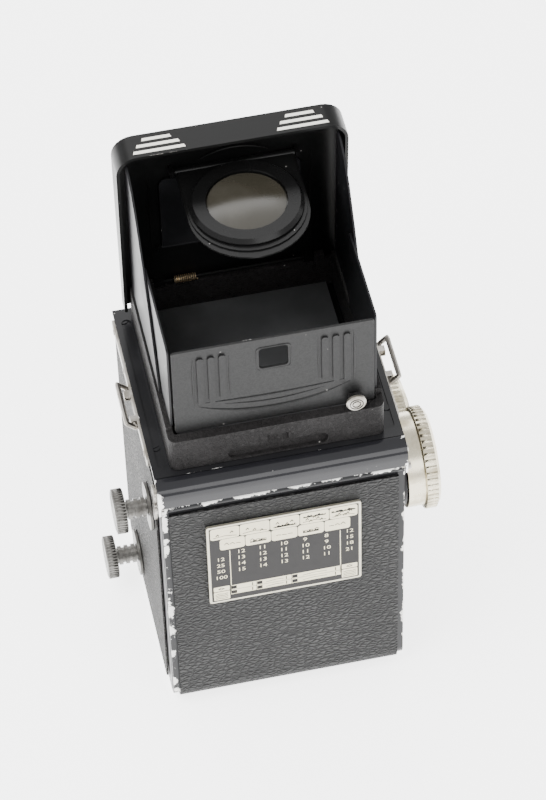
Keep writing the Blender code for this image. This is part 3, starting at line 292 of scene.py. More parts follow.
def edge_chips_group() -> bpy.types.NodeTree:
    """Paint chips that gather along the edges of a box.

    Returns:
        A group giving the mask of bare metal for a box of the given half sizes.
    """
    tree, g, gin, gout = new_group(
        "edge_chips",
        {"Place": (VECTOR, None), "Centre": (VECTOR, (0.0, 0.0, 0.0)),
         "Half Size": (VECTOR, (0.05, 0.05, 0.05)), "Reach": (FLOAT, 0.0012),
         "Amount": (FLOAT, 0.5), "Patches per metre": (FLOAT, 160.0)},
        {"Mask": FLOAT})
    local = g.vector("SUBTRACT", gin.outputs["Place"], gin.outputs["Centre"])
    inset = g.vector("SUBTRACT", gin.outputs["Half Size"], g.vector("ABSOLUTE", local))
    x, y, z = g.node("ShaderNodeSeparateXYZ", in_Vector=inset).outputs
    low = g.maths("MINIMUM", g.maths("MINIMUM", x, y), z)
    high = g.maths("MAXIMUM", g.maths("MAXIMUM", x, y), z)
    middle = g.maths("SUBTRACT", g.maths("ADD", g.maths("ADD", x, y), z),
                     g.maths("ADD", low, high))
    near = g.maths("SUBTRACT", 1.0, g.maths("DIVIDE", middle, gin.outputs["Reach"]), clamp=True)
    patches = g.noise(gin.outputs["Place"], gin.outputs["Patches per metre"], 5.0,
                      in_Roughness=0.7)
    total = g.maths("ADD", g.maths("MULTIPLY", near, 0.36), patches.outputs["Fac"])
    limit = g.maths("SUBTRACT", 1.14, g.maths("MULTIPLY", gin.outputs["Amount"], 0.4))
    mask = g.maths("MULTIPLY", g.maths("SUBTRACT", total, limit), 40.0, clamp=True)
    g.feed(gout.inputs["Mask"], g.maths("MULTIPLY", mask, g.ramp(near, 0.0, 0.2)))
    return tree


def dust_group() -> bpy.types.NodeTree:
    """Scattered specks of dust and faint cloudy film.

    Returns:
        A group giving the mask of specks and the mask of the film.
    """
    tree, g, gin, gout = new_group(
        "dust", {"Place": (VECTOR, None), "Specks per metre": (FLOAT, 320.0)},
        {"Specks": FLOAT, "Film": FLOAT})
    where = gin.outputs["Place"]
    dots = g.node("ShaderNodeTexVoronoi", feature="F1", in_Vector=where,
                  in_Scale=gin.outputs["Specks per metre"])
    chosen = g.node("ShaderNodeSeparateColor", in_Color=dots.outputs["Color"])
    size = g.maths("MULTIPLY", g.maths("POWER", chosen.outputs[0], 6.0), 0.10)
    speck = g.maths("LESS_THAN", dots.outputs["Distance"], size)
    cloud = g.noise(where, 55.0, 4.0)
    g.feeds(gout, Specks=speck, Film=g.ramp(cloud.outputs["Fac"], 0.45, 0.75))
    return tree


def turning_marks_group() -> bpy.types.NodeTree:
    """Concentric lathe marks around an axis along x, with tarnish.

    Returns:
        A group giving the marks' height and the mask of the tarnish.
    """
    tree, g, gin, gout = new_group(
        "turning_marks",
        {"Place": (VECTOR, None), "Axis Point": (VECTOR, (0.0, 0.0, 0.0)),
         "Marks per metre": (FLOAT, 2600.0)},
        {"Height": FLOAT, "Tarnish": FLOAT})
    local = g.vector("SUBTRACT", gin.outputs["Place"], gin.outputs["Axis Point"])
    x, y, z = g.node("ShaderNodeSeparateXYZ", in_Vector=local).outputs
    radius = g.maths("SQRT", g.maths("ADD", g.maths("POWER", y, 2.0), g.maths("POWER", z, 2.0)))
    lines = g.node("ShaderNodeTexNoise", noise_dimensions="1D", in_Detail=3.0, in_Roughness=0.7,
                   in_W=g.maths("ADD", radius, x), in_Scale=gin.outputs["Marks per metre"])
    blotch = g.noise(gin.outputs["Place"], 190.0, 5.0, in_Roughness=0.6)
    g.feeds(gout, Height=lines.outputs["Fac"],
            Tarnish=g.ramp(blotch.outputs["Fac"], 0.42, 0.72))
    return tree


# ---------------------------------------------------------------- finishes


class Wear(Enum):
    """How much paint an enamelled piece has lost along its edges."""

    NONE = 0.0
    LIGHT = 0.5
    HEAVY = 0.92


@dataclass(frozen=True)
class Groups:
    """The shader node groups that the finishes share."""

    leather: bpy.types.NodeTree
    wrinkle: bpy.types.NodeTree
    chips: bpy.types.NodeTree
    dust: bpy.types.NodeTree
    turning: bpy.types.NodeTree

    @staticmethod
    def build() -> "Groups":
        """Make every shared group once."""
        return Groups(leather_grain_group(), crackle_group(), edge_chips_group(), dust_group(),
                      turning_marks_group())


@dataclass(frozen=True)
class Finish:
    """What every finish has: a name and the tools to start its material."""

    name: str

    def start(self) -> tuple[bpy.types.Material, Graph, bpy.types.Node, bpy.types.NodeSocket]:
        """Start a material.

        Returns:
            The material, its graph, its shader and the Object coordinates.
        """
        material = bpy.data.materials.new(self.name)
        material.use_nodes = True
        material.node_tree.nodes.clear()
        graph = Graph(material.node_tree)
        shader = graph.node("ShaderNodeBsdfPrincipled")
        out = graph.node("ShaderNodeOutputMaterial")
        graph.feed(out.inputs["Surface"], shader.outputs[0])
        where = graph.node("ShaderNodeTexCoord").outputs["Object"]
        return material, graph, shader, where

    def group(self, graph: Graph, tree: bpy.types.NodeTree, where: bpy.types.NodeSocket,
              **values: object) -> bpy.types.Node:
        """Place a shared group in a material.

        Args:
            graph: The material's graph.
            tree: The group.
            where: The coordinates.
            **values: Input values, with underscores for spaces.

        Returns:
            The group node.
        """
        made = graph.node("ShaderNodeGroup", node_tree=tree, in_Place=where)
        graph.feeds(made, **values)
        return made

    def relief(self, graph: Graph, shader: bpy.types.Node, height: bpy.types.NodeSocket,
               depth: float) -> None:
        """Give the shader a bump from a height, of a depth in metres."""
        bump = graph.node("ShaderNodeBump", in_Strength=1.0, in_Distance=depth, in_Height=height)
        graph.feed(shader.inputs["Normal"], bump.outputs[0])


@dataclass(frozen=True)
class Enamel(Finish):
    """Black enamel, smooth or wrinkled, with bare metal where it has chipped."""

    groups: Groups
    color: tuple[float, float, float] = (0.012, 0.012, 0.013)
    roughness: float = 0.22
    wrinkle: float = 0.0
    centre: tuple[float, float, float] = (0.0, 0.0, 0.0)
    half: tuple[float, float, float] = (1.0, 1.0, 1.0)
    wear: Wear = Wear.NONE
    reach: float = 0.0012
    bare: tuple[float, float, float] = (0.78, 0.77, 0.74)
    dusty: float = 0.25
    sheen: float = 0.17

    @classmethod
    def around(cls, node: str, name: str, groups: Groups, **look: object) -> "Enamel":
        """An enamel whose chips gather along the edges of a node's box."""
        centre, half = middle_and_half(node)
        return cls(name, groups, centre=tuple(centre), half=tuple(half), **look)

    def build(self) -> bpy.types.Material:
        """Make the material."""
        material, g, shader, where = self.start()
        dust = self.group(g, self.groups.dust, where)
        film = g.maths("MULTIPLY", dust.outputs["Film"], self.dusty)
        color = g.mix(film, (*self.color, 1), tuple(c * 1.8 + 0.006 for c in self.color) + (1,))
        color = g.mix(g.maths("MULTIPLY", dust.outputs["Specks"], min(1.0, self.dusty * 2)),
                      color, (0.42, 0.41, 0.39, 1))
        rough = g.maths("ADD", self.roughness, g.maths("MULTIPLY", film, 0.22))
        uneven = g.noise(where, 240.0, 3.0)
        height, depth = uneven.outputs["Fac"], 0.000012
        if self.wrinkle:
            skin = self.group(g, self.groups.wrinkle, where)
            height, depth = skin.outputs["Height"], 0.00022 * self.wrinkle
            # Painted highlight: the wrinkle's crests are lightened in colour.
            color = g.mix(g.maths("MULTIPLY", skin.outputs["Crests"], 0.35), color,
                          tuple(c * 1.9 + 0.01 for c in self.color) + (1,))
        if self.wear is not Wear.NONE:
            chips = self.group(g, self.groups.chips, where, Centre=self.centre,
                               Half_Size=self.half, Reach=self.reach, Amount=self.wear.value)
            mask = chips.outputs["Mask"]
            color = g.mix(mask, color, (*self.bare, 1))
            rough = g.maths("ADD", rough, g.maths("MULTIPLY", mask, 0.3))
            g.feed(shader.inputs["Metallic"], g.maths("MULTIPLY", mask, 0.35))
            height = g.maths("SUBTRACT", height, g.maths("MULTIPLY", mask, 3.0))
        g.feeds(shader, Base_Color=color, Roughness=rough, Specular_IOR_Level=self.sheen)
        self.relief(g, shader, height, depth)
        return material


@dataclass(frozen=True)
class Leather(Finish):
    """Black grained leather, with a painted highlight on the tops of its grain."""

    groups: Groups
    # low is the leather's own colour; high is the painted highlight on its grain's tops.
    low: tuple[float, float, float] = (0.018, 0.017, 0.017)
    high: tuple[float, float, float] = (0.085, 0.083, 0.08)
    speckle: float = 0.3

    def build(self) -> bpy.types.Material:
        """Make the material."""
        material, g, shader, where = self.start()
        grain = self.group(g, self.groups.leather, where)
        dust = self.group(g, self.groups.dust, where, Specks_per_metre=800.0)
        # Painted highlight: the grain's tops are lightened towards the high colour, more in broad
        # patches.
        highlight_patches = g.noise(where, 38.0, 5.0)
        tops = g.maths("MULTIPLY", grain.outputs["Tops"],
                       g.ramp(highlight_patches.outputs["Fac"], 0.1, 0.8))
        color = g.mix(tops, (*self.low, 1), (*self.high, 1))
        rust = g.noise(where, 95.0, 6.0, in_Roughness=0.75)
        color = g.mix(g.ramp(rust.outputs["Fac"], 0.71, 0.78), color, (0.16, 0.06, 0.02, 1))
        color = g.mix(g.maths("MULTIPLY", dust.outputs["Specks"], self.speckle), color,
                      (0.5, 0.48, 0.44, 1))
        rough = g.maths("SUBTRACT", 0.62, g.maths("MULTIPLY", tops, 0.16))
        g.feeds(shader, Base_Color=color, Roughness=rough, Specular_IOR_Level=0.28)
        self.relief(g, shader, grain.outputs["Height"], 0.00055)
        return material


@dataclass(frozen=True)
class TurnedMetal(Finish):
    """Bright metal with lathe or brush marks and blotches of tarnish."""

    groups: Groups
    color: tuple[float, float, float] = (0.80, 0.79, 0.76)
    tarnish: tuple[float, float, float] = (0.56, 0.51, 0.42)
    share: float = 0.35
    roughness: float = 0.28
    axis: tuple[float, float, float] = (0.0, 0.0, 0.0)

    def build(self) -> bpy.types.Material:
        """Make the material."""
        material, g, shader, where = self.start()
        marks = self.group(g, self.groups.turning, where, Axis_Point=self.axis)
        tarnish = g.maths("MULTIPLY", marks.outputs["Tarnish"], self.share)
        uneven = g.maths("ADD", g.maths("MULTIPLY", marks.outputs["Height"], 0.08),
                         g.maths("MULTIPLY", tarnish, 0.25))
        g.feeds(shader, Base_Color=g.mix(tarnish, (*self.color, 1), (*self.tarnish, 1)),
                Roughness=g.maths("ADD", self.roughness, uneven), Metallic=1.0)
        self.relief(g, shader, marks.outputs["Height"], 0.000012)
        return material


@dataclass(frozen=True)
class Glass(Finish):
    """A lens element or screen, dark and slightly hazed."""

    tint: tuple[float, float, float] = (0.09, 0.08, 0.06)
    roughness: float = 0.04

    def build(self) -> bpy.types.Material:
        """Make the material."""
        material, g, shader, where = self.start()
        smear = g.noise(where, 70.0, 4.0)
        haze = g.ramp(smear.outputs["Fac"], 0.4, 0.8)
        lighter = tuple(min(1.0, c * 1.25 + 0.01) for c in self.tint)
        rough = g.maths("ADD", self.roughness, g.maths("MULTIPLY", haze, 0.05))
        g.feeds(shader, Base_Color=g.mix(haze, (*self.tint, 1), (*lighter, 1)),
                Roughness=rough, Specular_IOR_Level=0.7)
        return material


@dataclass(frozen=True)
class Plain(Finish):
    """A printed or painted surface with slight mottling."""

    color: tuple[float, float, float] = (0.8, 0.79, 0.72)
    roughness: float = 0.4
    metallic: float = 0.0
    mottle: float = 0.2
    sheen: float = 0.15

    def build(self) -> bpy.types.Material:
        """Make the material."""
        material, g, shader, where = self.start()
        noise = g.noise(where, 330.0, 5.0)
        share = g.maths("MULTIPLY", g.ramp(noise.outputs["Fac"], 0.45, 0.75), self.mottle)
        darker = tuple(c * 0.6 for c in self.color)
        rough = g.maths("ADD", self.roughness, g.maths("MULTIPLY", share, 0.4))
        g.feeds(shader, Base_Color=g.mix(share, (*self.color, 1), (*darker, 1)),
                Roughness=rough, Metallic=self.metallic, Specular_IOR_Level=self.sheen)
        self.relief(g, shader, noise.outputs["Fac"], 0.00001)
        return material


# ---------------------------------------------------------------- meshes


def add_object(name: str, data: bpy.types.ID) -> bpy.types.Object:
    """Put an object with this data in the scene, at the origin."""
    made = bpy.data.objects.new(name, data)
    bpy.context.scene.collection.objects.link(made)
    return made


def to_object(name: str, shape: bmesh.types.BMesh, materials: list[bpy.types.Material],
              smooth: bool = True) -> bpy.types.Object:
    """Turn a bmesh into an object at the origin.

    Args:
        name: The piece's name.
        shape: The mesh, in metres; it is freed.
        materials: Materials for its slots.
        smooth: Whether its gently turning faces are shaded smooth.

    Returns:
        The new object.
    """
    mesh = bpy.data.meshes.new(name)
    bmesh.ops.remove_doubles(shape, verts=shape.verts, dist=1e-8)
    bmesh.ops.recalc_face_normals(shape, faces=shape.faces)
    for face in shape.faces:
        face.smooth = smooth
    shape.to_mesh(mesh)
    shape.free()
    for material in materials:
        mesh.materials.append(material)
    if smooth:
        mesh.set_sharp_from_angle(angle=math.radians(35))
    return add_object(name, mesh)


def strip(shape: bmesh.types.BMesh, outline: list[Vector], normal: Vector, thickness: float,
          slot: int = 0) -> None:
    """Add a flat prism to a bmesh.

    Args:
        shape: The bmesh.
        outline: The face's corners, in metres.
        normal: The direction it is raised in.
        thickness: Its height in metres.
        slot: Its material slot.
    """
    low = [shape.verts.new(p) for p in outline]
    high = [shape.verts.new(p + normal * thickness) for p in outline]
    faces = [shape.faces.new(low[::-1]), shape.faces.new(high)]
    for i, vertex in enumerate(low):
        after = (i + 1) % len(low)
        faces.append(shape.faces.new((vertex, low[after], high[after], high[i])))
    for face in faces:
        face.material_index = slot


def rounded_box(x0: float, z0: float, x1: float, z1: float, radius: float,
                steps: int = 4) -> list[tuple[float, float]]:
    """The outline of a rectangle with round corners, counter-clockwise.

    Args:
        x0: Left.
        z0: Bottom.
        x1: Right.
        z1: Top.
        radius: Corner radius.
        steps: Segments for each corner.

    Returns:
        Its corners.
    """
    corners = ((x1 - radius, z0 + radius, -90), (x1 - radius, z1 - radius, 0),
               (x0 + radius, z1 - radius, 90), (x0 + radius, z0 + radius, 180))
    return [(cx + radius * math.cos(math.radians(start + 90 * i / steps)),
             cz + radius * math.sin(math.radians(start + 90 * i / steps)))
            for cx, cz, start in corners for i in range(steps + 1)]


def tube_along(shape: bmesh.types.BMesh, path: list[Vector], radius: float, sides: int = 8,
               taper: bool = False, slot: int = 0) -> None:
    """Add a round wire along a path to a bmesh.

    Args:
        shape: The bmesh.
        path: Its centre line, in metres.
        radius: Its radius in metres.
        sides: Sides round it.
        taper: Whether it thins to nothing at both ends.
        slot: Its material slot.
    """
    rings = []
    across = None
    for i, here in enumerate(path):
        ahead = (path[min(i + 1, len(path) - 1)] - path[max(i - 1, 0)]).normalized()
        if across is None:
            seed = Vector((0, 0, 1)) if abs(ahead.z) < 0.9 else Vector((1, 0, 0))
            across = ahead.cross(seed).normalized()
        across = (across - ahead * across.dot(ahead)).normalized()
        other = ahead.cross(across)
        share = i / (len(path) - 1)
        r = radius * (max(0.08, math.sin(math.pi * share)) ** 0.6 if taper else 1.0)
        rings.append([shape.verts.new(here + across * math.cos(2 * math.pi * k / sides) * r
                                      + other * math.sin(2 * math.pi * k / sides) * r)
                      for k in range(sides)])
    for first, second in zip(rings, rings[1:]):
        for k in range(sides):
            after = (k + 1) % sides
            shape.faces.new((first[k], first[after], second[after],
                             second[k])).material_index = slot
    shape.faces.new(rings[0][::-1]).material_index = slot
    shape.faces.new(rings[-1]).material_index = slot


def revolve(shape: bmesh.types.BMesh, profile: list[tuple[float, float]], centre: Vector,
            axis: Vector, steps: int = 48, slot: int = 0) -> None:
    """Add a turned shape to a bmesh.

    Args:
        shape: The bmesh.
        profile: Radius and height pairs in metres, a closed ring of points.
        centre: The point where the height is 0.
        axis: The direction of the height.
        steps: Segments round it.
        slot: Its material slot.
    """
    seed = Vector((0, 0, 1)) if abs(axis.z) < 0.9 else Vector((1, 0, 0))
    across = axis.cross(seed).normalized()
    other = axis.cross(across)
    rings = []
    for radius, height in profile:
        if radius < 1e-9:
            rings.append([shape.verts.new(centre + axis * height)] * steps)
            continue
        rings.append([shape.verts.new(
            centre + axis * height + across * math.cos(2 * math.pi * k / steps) * radius
            + other * math.sin(2 * math.pi * k / steps) * radius) for k in range(steps)])
    for first, second in zip(rings, rings[1:] + rings[:1]):
        for k in range(steps):
            after = (k + 1) % steps
            corners = []
            for vertex in (first[k], first[after], second[after], second[k]):
                if vertex not in corners:
                    corners.append(vertex)
            if len(corners) > 2:
                shape.faces.new(corners).material_index = slot


def band(shape: bmesh.types.BMesh, radii: tuple[float, float], heights: tuple[float, float],
         centre: Vector, axis: Vector, steps: int) -> None:
    """Add a flat ring between two radii and two heights, in metres, to a bmesh."""
    (inner, outer), (low, high) = radii, heights
    revolve(shape, [(inner, low), (inner, high), (outer, high), (outer, low)], centre, axis,
            steps)


def printed(name: str, lines: list[tuple[str, float, float, float]],
            material: bpy.types.Material, frame: Matrix,
            font_width: float = 1.0) -> bpy.types.Object:
    """Make a mesh of printed numbers or marks.

    Args:
        name: The piece's name.
        lines: Text, x, y and height of each, in millimetres in the print's plane.
        material: Its ink.
        frame: From the print's plane to the frame.
        font_width: How wide the figures are set.

    Returns:
        One mesh object at the origin.
    """
    shape = bmesh.new()
    for text, x, y, size in lines:
        curve = bpy.data.curves.new(name, "FONT")
        curve.body = text
        curve.size = size * MM * 1.35
        curve.align_x, curve.align_y = "CENTER", "CENTER"
        curve.extrude = INK_THICKNESS
        curve.resolution_u = 3
        holder = add_object(name, curve)
        bpy.context.view_layer.update()
        mesh = bpy.data.meshes.new_from_object(holder)
        mesh.transform(frame @ Matrix.Translation((x * MM, y * MM, 0))
                       @ Matrix.Diagonal((font_width, 1, 1, 1)))
        shape.from_mesh(mesh)
        bpy.data.objects.remove(holder)
        bpy.data.meshes.remove(mesh)
    return to_object(name, shape, [material], smooth=False)


# ---------------------------------------------------------------- geometry nodes


class Repeater:
    """Geometry Nodes trees for pieces that repeat, each turned into a plain mesh."""

    def __init__(self) -> None:
        """Build both trees."""
        self.ribs = self._ribs()
        self.screws = self._screws()

    @staticmethod
    def _tree(name: str, inputs: list[tuple[str, str, object]]) -> tuple:
        """Start a geometry tree with named inputs."""
        tree = bpy.data.node_groups.new(name, "GeometryNodeTree")
        tree.interface.new_socket("Geometry", in_out="INPUT", socket_type="NodeSocketGeometry")
        for key, kind, value in inputs:
            socket = tree.interface.new_socket(key, in_out="INPUT", socket_type=kind)
            if value is not None:
                socket.default_value = value
        tree.interface.new_socket("Geometry", in_out="OUTPUT", socket_type="NodeSocketGeometry")
        graph = Graph(tree)
        return tree, graph, graph.node("NodeGroupInput"), graph.node("NodeGroupOutput")

    def _ribs(self) -> bpy.types.NodeTree:
        """Ribs round a band, along its axis."""
        tree, g, gin, gout = self._tree("ring_of_ribs", [
            ("Count", "NodeSocketInt", 48), ("Radius", FLOAT, 0.015),
            ("Rib Radius", FLOAT, 0.0004), ("Rib Length", FLOAT, 0.004),
            ("Material", "NodeSocketMaterial", None)])
        ring = g.node("GeometryNodeMeshCircle", in_Vertices=gin.outputs["Count"],
                      in_Radius=gin.outputs["Radius"])
        rib = g.node("GeometryNodeMeshCylinder", in_Vertices=8,
                     in_Radius=gin.outputs["Rib Radius"], in_Depth=gin.outputs["Rib Length"])
        spread = g.node("GeometryNodeInstanceOnPoints", in_Points=ring.outputs["Mesh"],
                        in_Instance=rib.outputs["Mesh"])
        self._end(g, spread.outputs[0], gin.outputs["Material"], gout)
        return tree

    def _screws(self) -> bpy.types.NodeTree:
        """Slotted screw heads on points that carry the direction each one faces."""
        tree, g, gin, gout = self._tree("screw_heads", [
            ("Head Radius", FLOAT, 0.0011), ("Head Height", FLOAT, 0.0004),
            ("Slot Width", FLOAT, 0.0003), ("Seed", "NodeSocketInt", 7),
            ("Material", "NodeSocketMaterial", None)])
        radius, height = gin.outputs["Head Radius"], gin.outputs["Head Height"]
        head = g.node("GeometryNodeMeshCylinder", in_Vertices=20, in_Radius=radius,
                      in_Depth=height)
        size = g.node("ShaderNodeCombineXYZ", in_0=g.maths("MULTIPLY", radius, 2.4),
                      in_1=gin.outputs["Slot Width"], in_2=height)
        slot = g.node("GeometryNodeMeshCube", in_Size=size.outputs[0])
        raised = g.node("ShaderNodeCombineXYZ", in_2=g.maths("MULTIPLY", height, 0.6))
        lift = g.node("GeometryNodeTransform", in_Geometry=slot.outputs["Mesh"],
                      in_Translation=raised.outputs[0])
        carve = g.node("GeometryNodeMeshBoolean", operation="DIFFERENCE", solver="EXACT",
                       in_Mesh_1=head.outputs["Mesh"], in_Mesh_2=lift.outputs["Geometry"])
        aim = g.node("GeometryNodeInputNamedAttribute", data_type="FLOAT_VECTOR", in_Name="aim")
        turn = g.node("FunctionNodeAlignRotationToVector", axis="Z",
                      in_Vector=aim.outputs["Attribute"])
        spin = g.node("FunctionNodeRandomValue", data_type="FLOAT", in_3=3.1,
                      in_Seed=gin.outputs["Seed"])
        local = g.node("FunctionNodeAxisAngleToRotation", in_Axis=(0, 0, 1),
                       in_Angle=spin.outputs[1])
        both = g.node("FunctionNodeRotateRotation", rotation_space="LOCAL",
                      in_Rotation=turn.outputs["Rotation"],
                      in_Rotate_By=local.outputs["Rotation"])
        spread = g.node("GeometryNodeInstanceOnPoints", in_Points=gin.outputs["Geometry"],
                        in_Instance=carve.outputs["Mesh"], in_Rotation=both.outputs["Rotation"])
        self._end(g, spread.outputs[0], gin.outputs["Material"], gout)
        return tree

    @staticmethod
    def _end(g: Graph, geometry: bpy.types.NodeSocket, material: bpy.types.NodeSocket,
             gout: bpy.types.Node) -> None:
        """End a tree in Realize Instances and Set Material."""
        realize = g.node("GeometryNodeRealizeInstances", in_Geometry=geometry)
        paint = g.node("GeometryNodeSetMaterial", in_Geometry=realize.outputs["Geometry"],
                       in_Material=material)
        g.feed(gout.inputs[0], paint.outputs["Geometry"])

    @staticmethod
    def run(name: str, tree: bpy.types.NodeTree, base: bpy.types.Mesh, frame: Matrix,
            values: dict[str, object]) -> bpy.types.Object:
        """Run a tree and keep its result as a plain mesh.

        Args:
            name: The piece's name.
            tree: The geometry tree.
            base: The mesh it starts from.
            frame: Where the result goes in the frame.
            values: The tree's named inputs.

        Returns:
            The new object at the origin.
        """
        carrier = add_object(name + "_carrier", base)
        modifier = carrier.modifiers.new("repeat", "NODES")
        modifier.node_group = tree
        for item in tree.interface.items_tree:
            if item.in_out == "INPUT" and item.name in values:
                modifier[item.identifier] = values[item.name]
        bpy.context.view_layer.update()
        graph = bpy.context.evaluated_depsgraph_get()
        mesh = bpy.data.meshes.new_from_object(carrier.evaluated_get(graph))
        carrier.modifiers.remove(modifier)
        bpy.data.objects.remove(carrier)
        mesh.name = name
        mesh.transform(frame)
        mesh.materials.clear()
        mesh.materials.append(values["Material"])
        mesh.polygons.foreach_set("material_index", [0] * len(mesh.polygons))
        return add_object(name, mesh)

    def rib_band(self, name: str, centre: Vector, axis: Vector, count: int, radius: float,
                 rib: float, length: float, material: bpy.types.Material) -> bpy.types.Object:
        """Ribs round a turned band.

        Args:
            name: The piece's name.
            centre: The middle of the band.
            axis: The band's axis.
            count: How many ribs.
            radius: From the axis to a rib's middle, in metres.
            rib: A rib's radius in metres.
            length: A rib's length in metres.
            material: The ribs' finish.

        Returns:
            The ribs as one mesh.
        """
        turn = axis.to_track_quat("Z", "Y").to_matrix().to_4x4()
        made = self.run(name, self.ribs, bpy.data.meshes.new(name + "_base"),
                        Matrix.Translation(centre) @ turn,
                        {"Count": count, "Radius": radius, "Rib Radius": rib,
                         "Rib Length": length, "Material": material})
        for polygon in made.data.polygons:
            polygon.use_smooth = len(polygon.vertices) == 4
        return made

    def screw_heads(self, name: str, spots: list[tuple[Vector, Vector]], radius: float,
                    height: float, material: bpy.types.Material) -> bpy.types.Object:
        """Slotted heads at spots, each facing its own way.

        Args:
            name: The piece's name.
            spots: Where each head's middle is and the way it faces.
            radius: A head's radius in metres.
            height: A head's height in metres.
            material: The heads' finish.

        Returns:
            The heads as one mesh.
        """
        base = bpy.data.meshes.new(name + "_base")
        base.from_pydata([spot for spot, _ in spots], [], [])
        aim = base.attributes.new("aim", "FLOAT_VECTOR", "POINT")
        aim.data.foreach_set("vector", [c for _, way in spots for c in way])
        return self.run(name, self.screws, base, Matrix.Identity(4),
                        {"Head Radius": radius, "Head Height": height,
                         "Slot Width": radius * 0.3, "Seed": 7, "Material": material})


# ---------------------------------------------------------------- the camera's sub-assemblies


@dataclass
class Shop:
    """What every sub-assembly works with: the frame, finishes and the repeater."""

    nodes: dict[str, bpy.types.Object]
    groups: Groups
    repeater: Repeater
    finishes: dict[str, bpy.types.Material] = field(default_factory=dict)
    made: int = 0

    def paint(self, finish: bpy.types.Material, *names: str) -> None:
        """Give CAD nodes a finish by their material slots."""
        for name in names:
            for slot in self.nodes[name].material_slots:
                slot.material = finish

    def soften(self, slots: dict[str, str], angle: float = 34.0) -> None:
        """Show welded, smoothly shaded pieces in place of faceted CAD nodes.

        Args:
            slots: Each node's name and its record slot.
            angle: The steepest turn in degrees that still shades smooth.
        """
        for name, slot in slots.items():
            source = self.nodes[name]
            shape = bmesh.new()
            shape.from_mesh(source.data)
            bmesh.ops.remove_doubles(shape, verts=shape.verts, dist=1e-6)
            shape.verts.index_update()
            mesh = bpy.data.meshes.new(f"{name}_smooth")
            mesh.from_pydata([v.co[:] for v in shape.verts], [],
                             [[v.index for v in face.verts] for face in shape.faces])
            shape.free()
            mesh.materials.append(source.material_slots[0].material)
            mesh.polygons.foreach_set("use_smooth", [True] * len(mesh.polygons))
            mesh.set_sharp_from_angle(angle=math.radians(angle))
            piece = add_object(mesh.name, mesh)
            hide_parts(name)
            self.keep(piece, body_of(source)[0], slot)

    def keep(self, piece: bpy.types.Object, body: str, slot: str) -> bpy.types.Object:
        """Let a piece ride on a body and report it."""
        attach(piece, body)
        self.made += 1
        LOG.info("%s rides on %s, %d faces", piece.name, body, len(piece.data.polygons))
        return piece

    def screws(self, name: str, spots: list[tuple[Vector, Vector]], radius: float,
               height: float, finish: str, body: str, slot: str) -> None:
        """Fit slotted screw heads in a named finish, of a radius and height in metres."""
        self.keep(self.repeater.screw_heads(name, spots, radius, height, self.finishes[finish]),
                  body, slot)


@dataclass
class Body:
    """The casting, deck, rails and side leather."""

    shop: Shop
    screw_radius: float = 0.0012
    channel_x: float = 35.2

    def dress(self) -> None:
        """Give the body its finishes and small fittings."""
        shop = self.shop
        shell = Enamel.around("body_casting", "casting_enamel", shop.groups, roughness=0.3,
                              wear=Wear.LIGHT, reach=0.0011).build()
        deck = Enamel.around("top_deck", "deck_enamel", shop.groups, roughness=0.2,
                             wear=Wear.LIGHT, reach=0.0006, dusty=0.3).build()
        low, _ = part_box("hinge_bar")
        centre, half = middle_and_half("hinge_bar")
        bar = Enamel("bar_enamel", shop.groups, color=(0.01, 0.01, 0.012), roughness=0.09,
                     sheen=0.35, wear=Wear.HEAVY, centre=(0.0, centre.y, low.z + 0.02),
                     half=(half.x, half.y + 0.0002, 0.0202), reach=0.0034, dusty=0.12,
                     bare=(0.86, 0.85, 0.82)).build()
        dark = Enamel("inside_black", shop.groups, color=(0.003, 0.003, 0.003),
                      roughness=0.6, sheen=0.12).build()
        shop.finishes.update(dark=dark, deck=deck)
        shop.paint(shell, "body_casting")
        shop.paint(deck, "top_deck")
        shop.paint(bar, "hinge_bar")
        shop.paint(dark, "light_chamber", "mirror_carrier", "screen_frame", "pressure_plate",
                   "take_up_spool")
        for side in ("left", "right"):
            # high is the painted highlight colour on the grain's tops.
            leather = Leather(f"side_leather_{side}", shop.groups,
                              low=(0.012, 0.0115, 0.011), high=(0.085, 0.08, 0.07),
                              speckle=0.3).build()
            shop.paint(leather, f"side_leather_{side}")
        steel = shop.finishes["steel"]
        shop.paint(steel, "side_rail_left", "side_rail_right", "door_hinge_pin",
                   "strap_bail_left", "strap_bail_right", "roller_upper", "roller_lower",
                   "wind_shaft", "focus_shaft")
        self._screws()
        self._bracket()

    def _screws(self) -> None:
        """Deck and rail screws."""
        spots = [(place(side * self.channel_x, y, -0.55), Vector((0, 0, 1)))
                 for side in (-1, 1) for y in (-64.0, -12.0)]
        self.shop.screws("deck_screws", spots, self.screw_radius, 0.0005, "deck",
                         "camera_body", "black_enamel")
        rail = [(place(side * 38.75, y, -2.6), Vector((side, 0, 0)))
                for side in (-1, 1) for y in (-62.0, -46.0, -12.5)]
        self.shop.screws("rail_screws", rail, 0.0009, 0.0003, "steel", "camera_body",
                         "bright_steel")

    def _bracket(self) -> None:
        """The slotted hinge bracket on the left side and the bar's end screws."""
        shape = bmesh.new()
        outline = [(-2.2, -5.0), (1.4, -5.0), (2.4, -8.0), (2.4, -15.0), (0.4, -18.5),
                   (-2.2, -18.5)]
        strip(shape, [place(38.05, y, z) for y, z in outline], Vector((1, 0, 0)), 0.0007)
        slot = rounded_box(-1.3, -14.6, -0.3, -7.6, 0.48)
        strip(shape, [place(38.7, y, z) for y, z in slot], Vector((1, 0, 0)), 0.0001, 1)
        bracket = to_object("hinge_bracket", shape,
                            [self.shop.finishes["steel"], self.shop.finishes["dark"]])
        self.shop.keep(bracket, "camera_body", "bright_steel")
        ends = [(place(side * 38.25, 1.6, -4.2), Vector((side, 0, 0))) for side in (-1, 1)]
        self.shop.screws("bar_end_screws", ends, 0.0014, 0.0009, "steel", "camera_body",
                         "bright_steel")


@dataclass(frozen=True)
class TableLayout:
    """The exposure table's edges and cell borders, in millimetres from its middle."""

    left: float
    right: float
    bottom: float
    top: float
    strip_top: float
    upper: tuple[float, ...]
    lower: tuple[float, ...]
    row: float


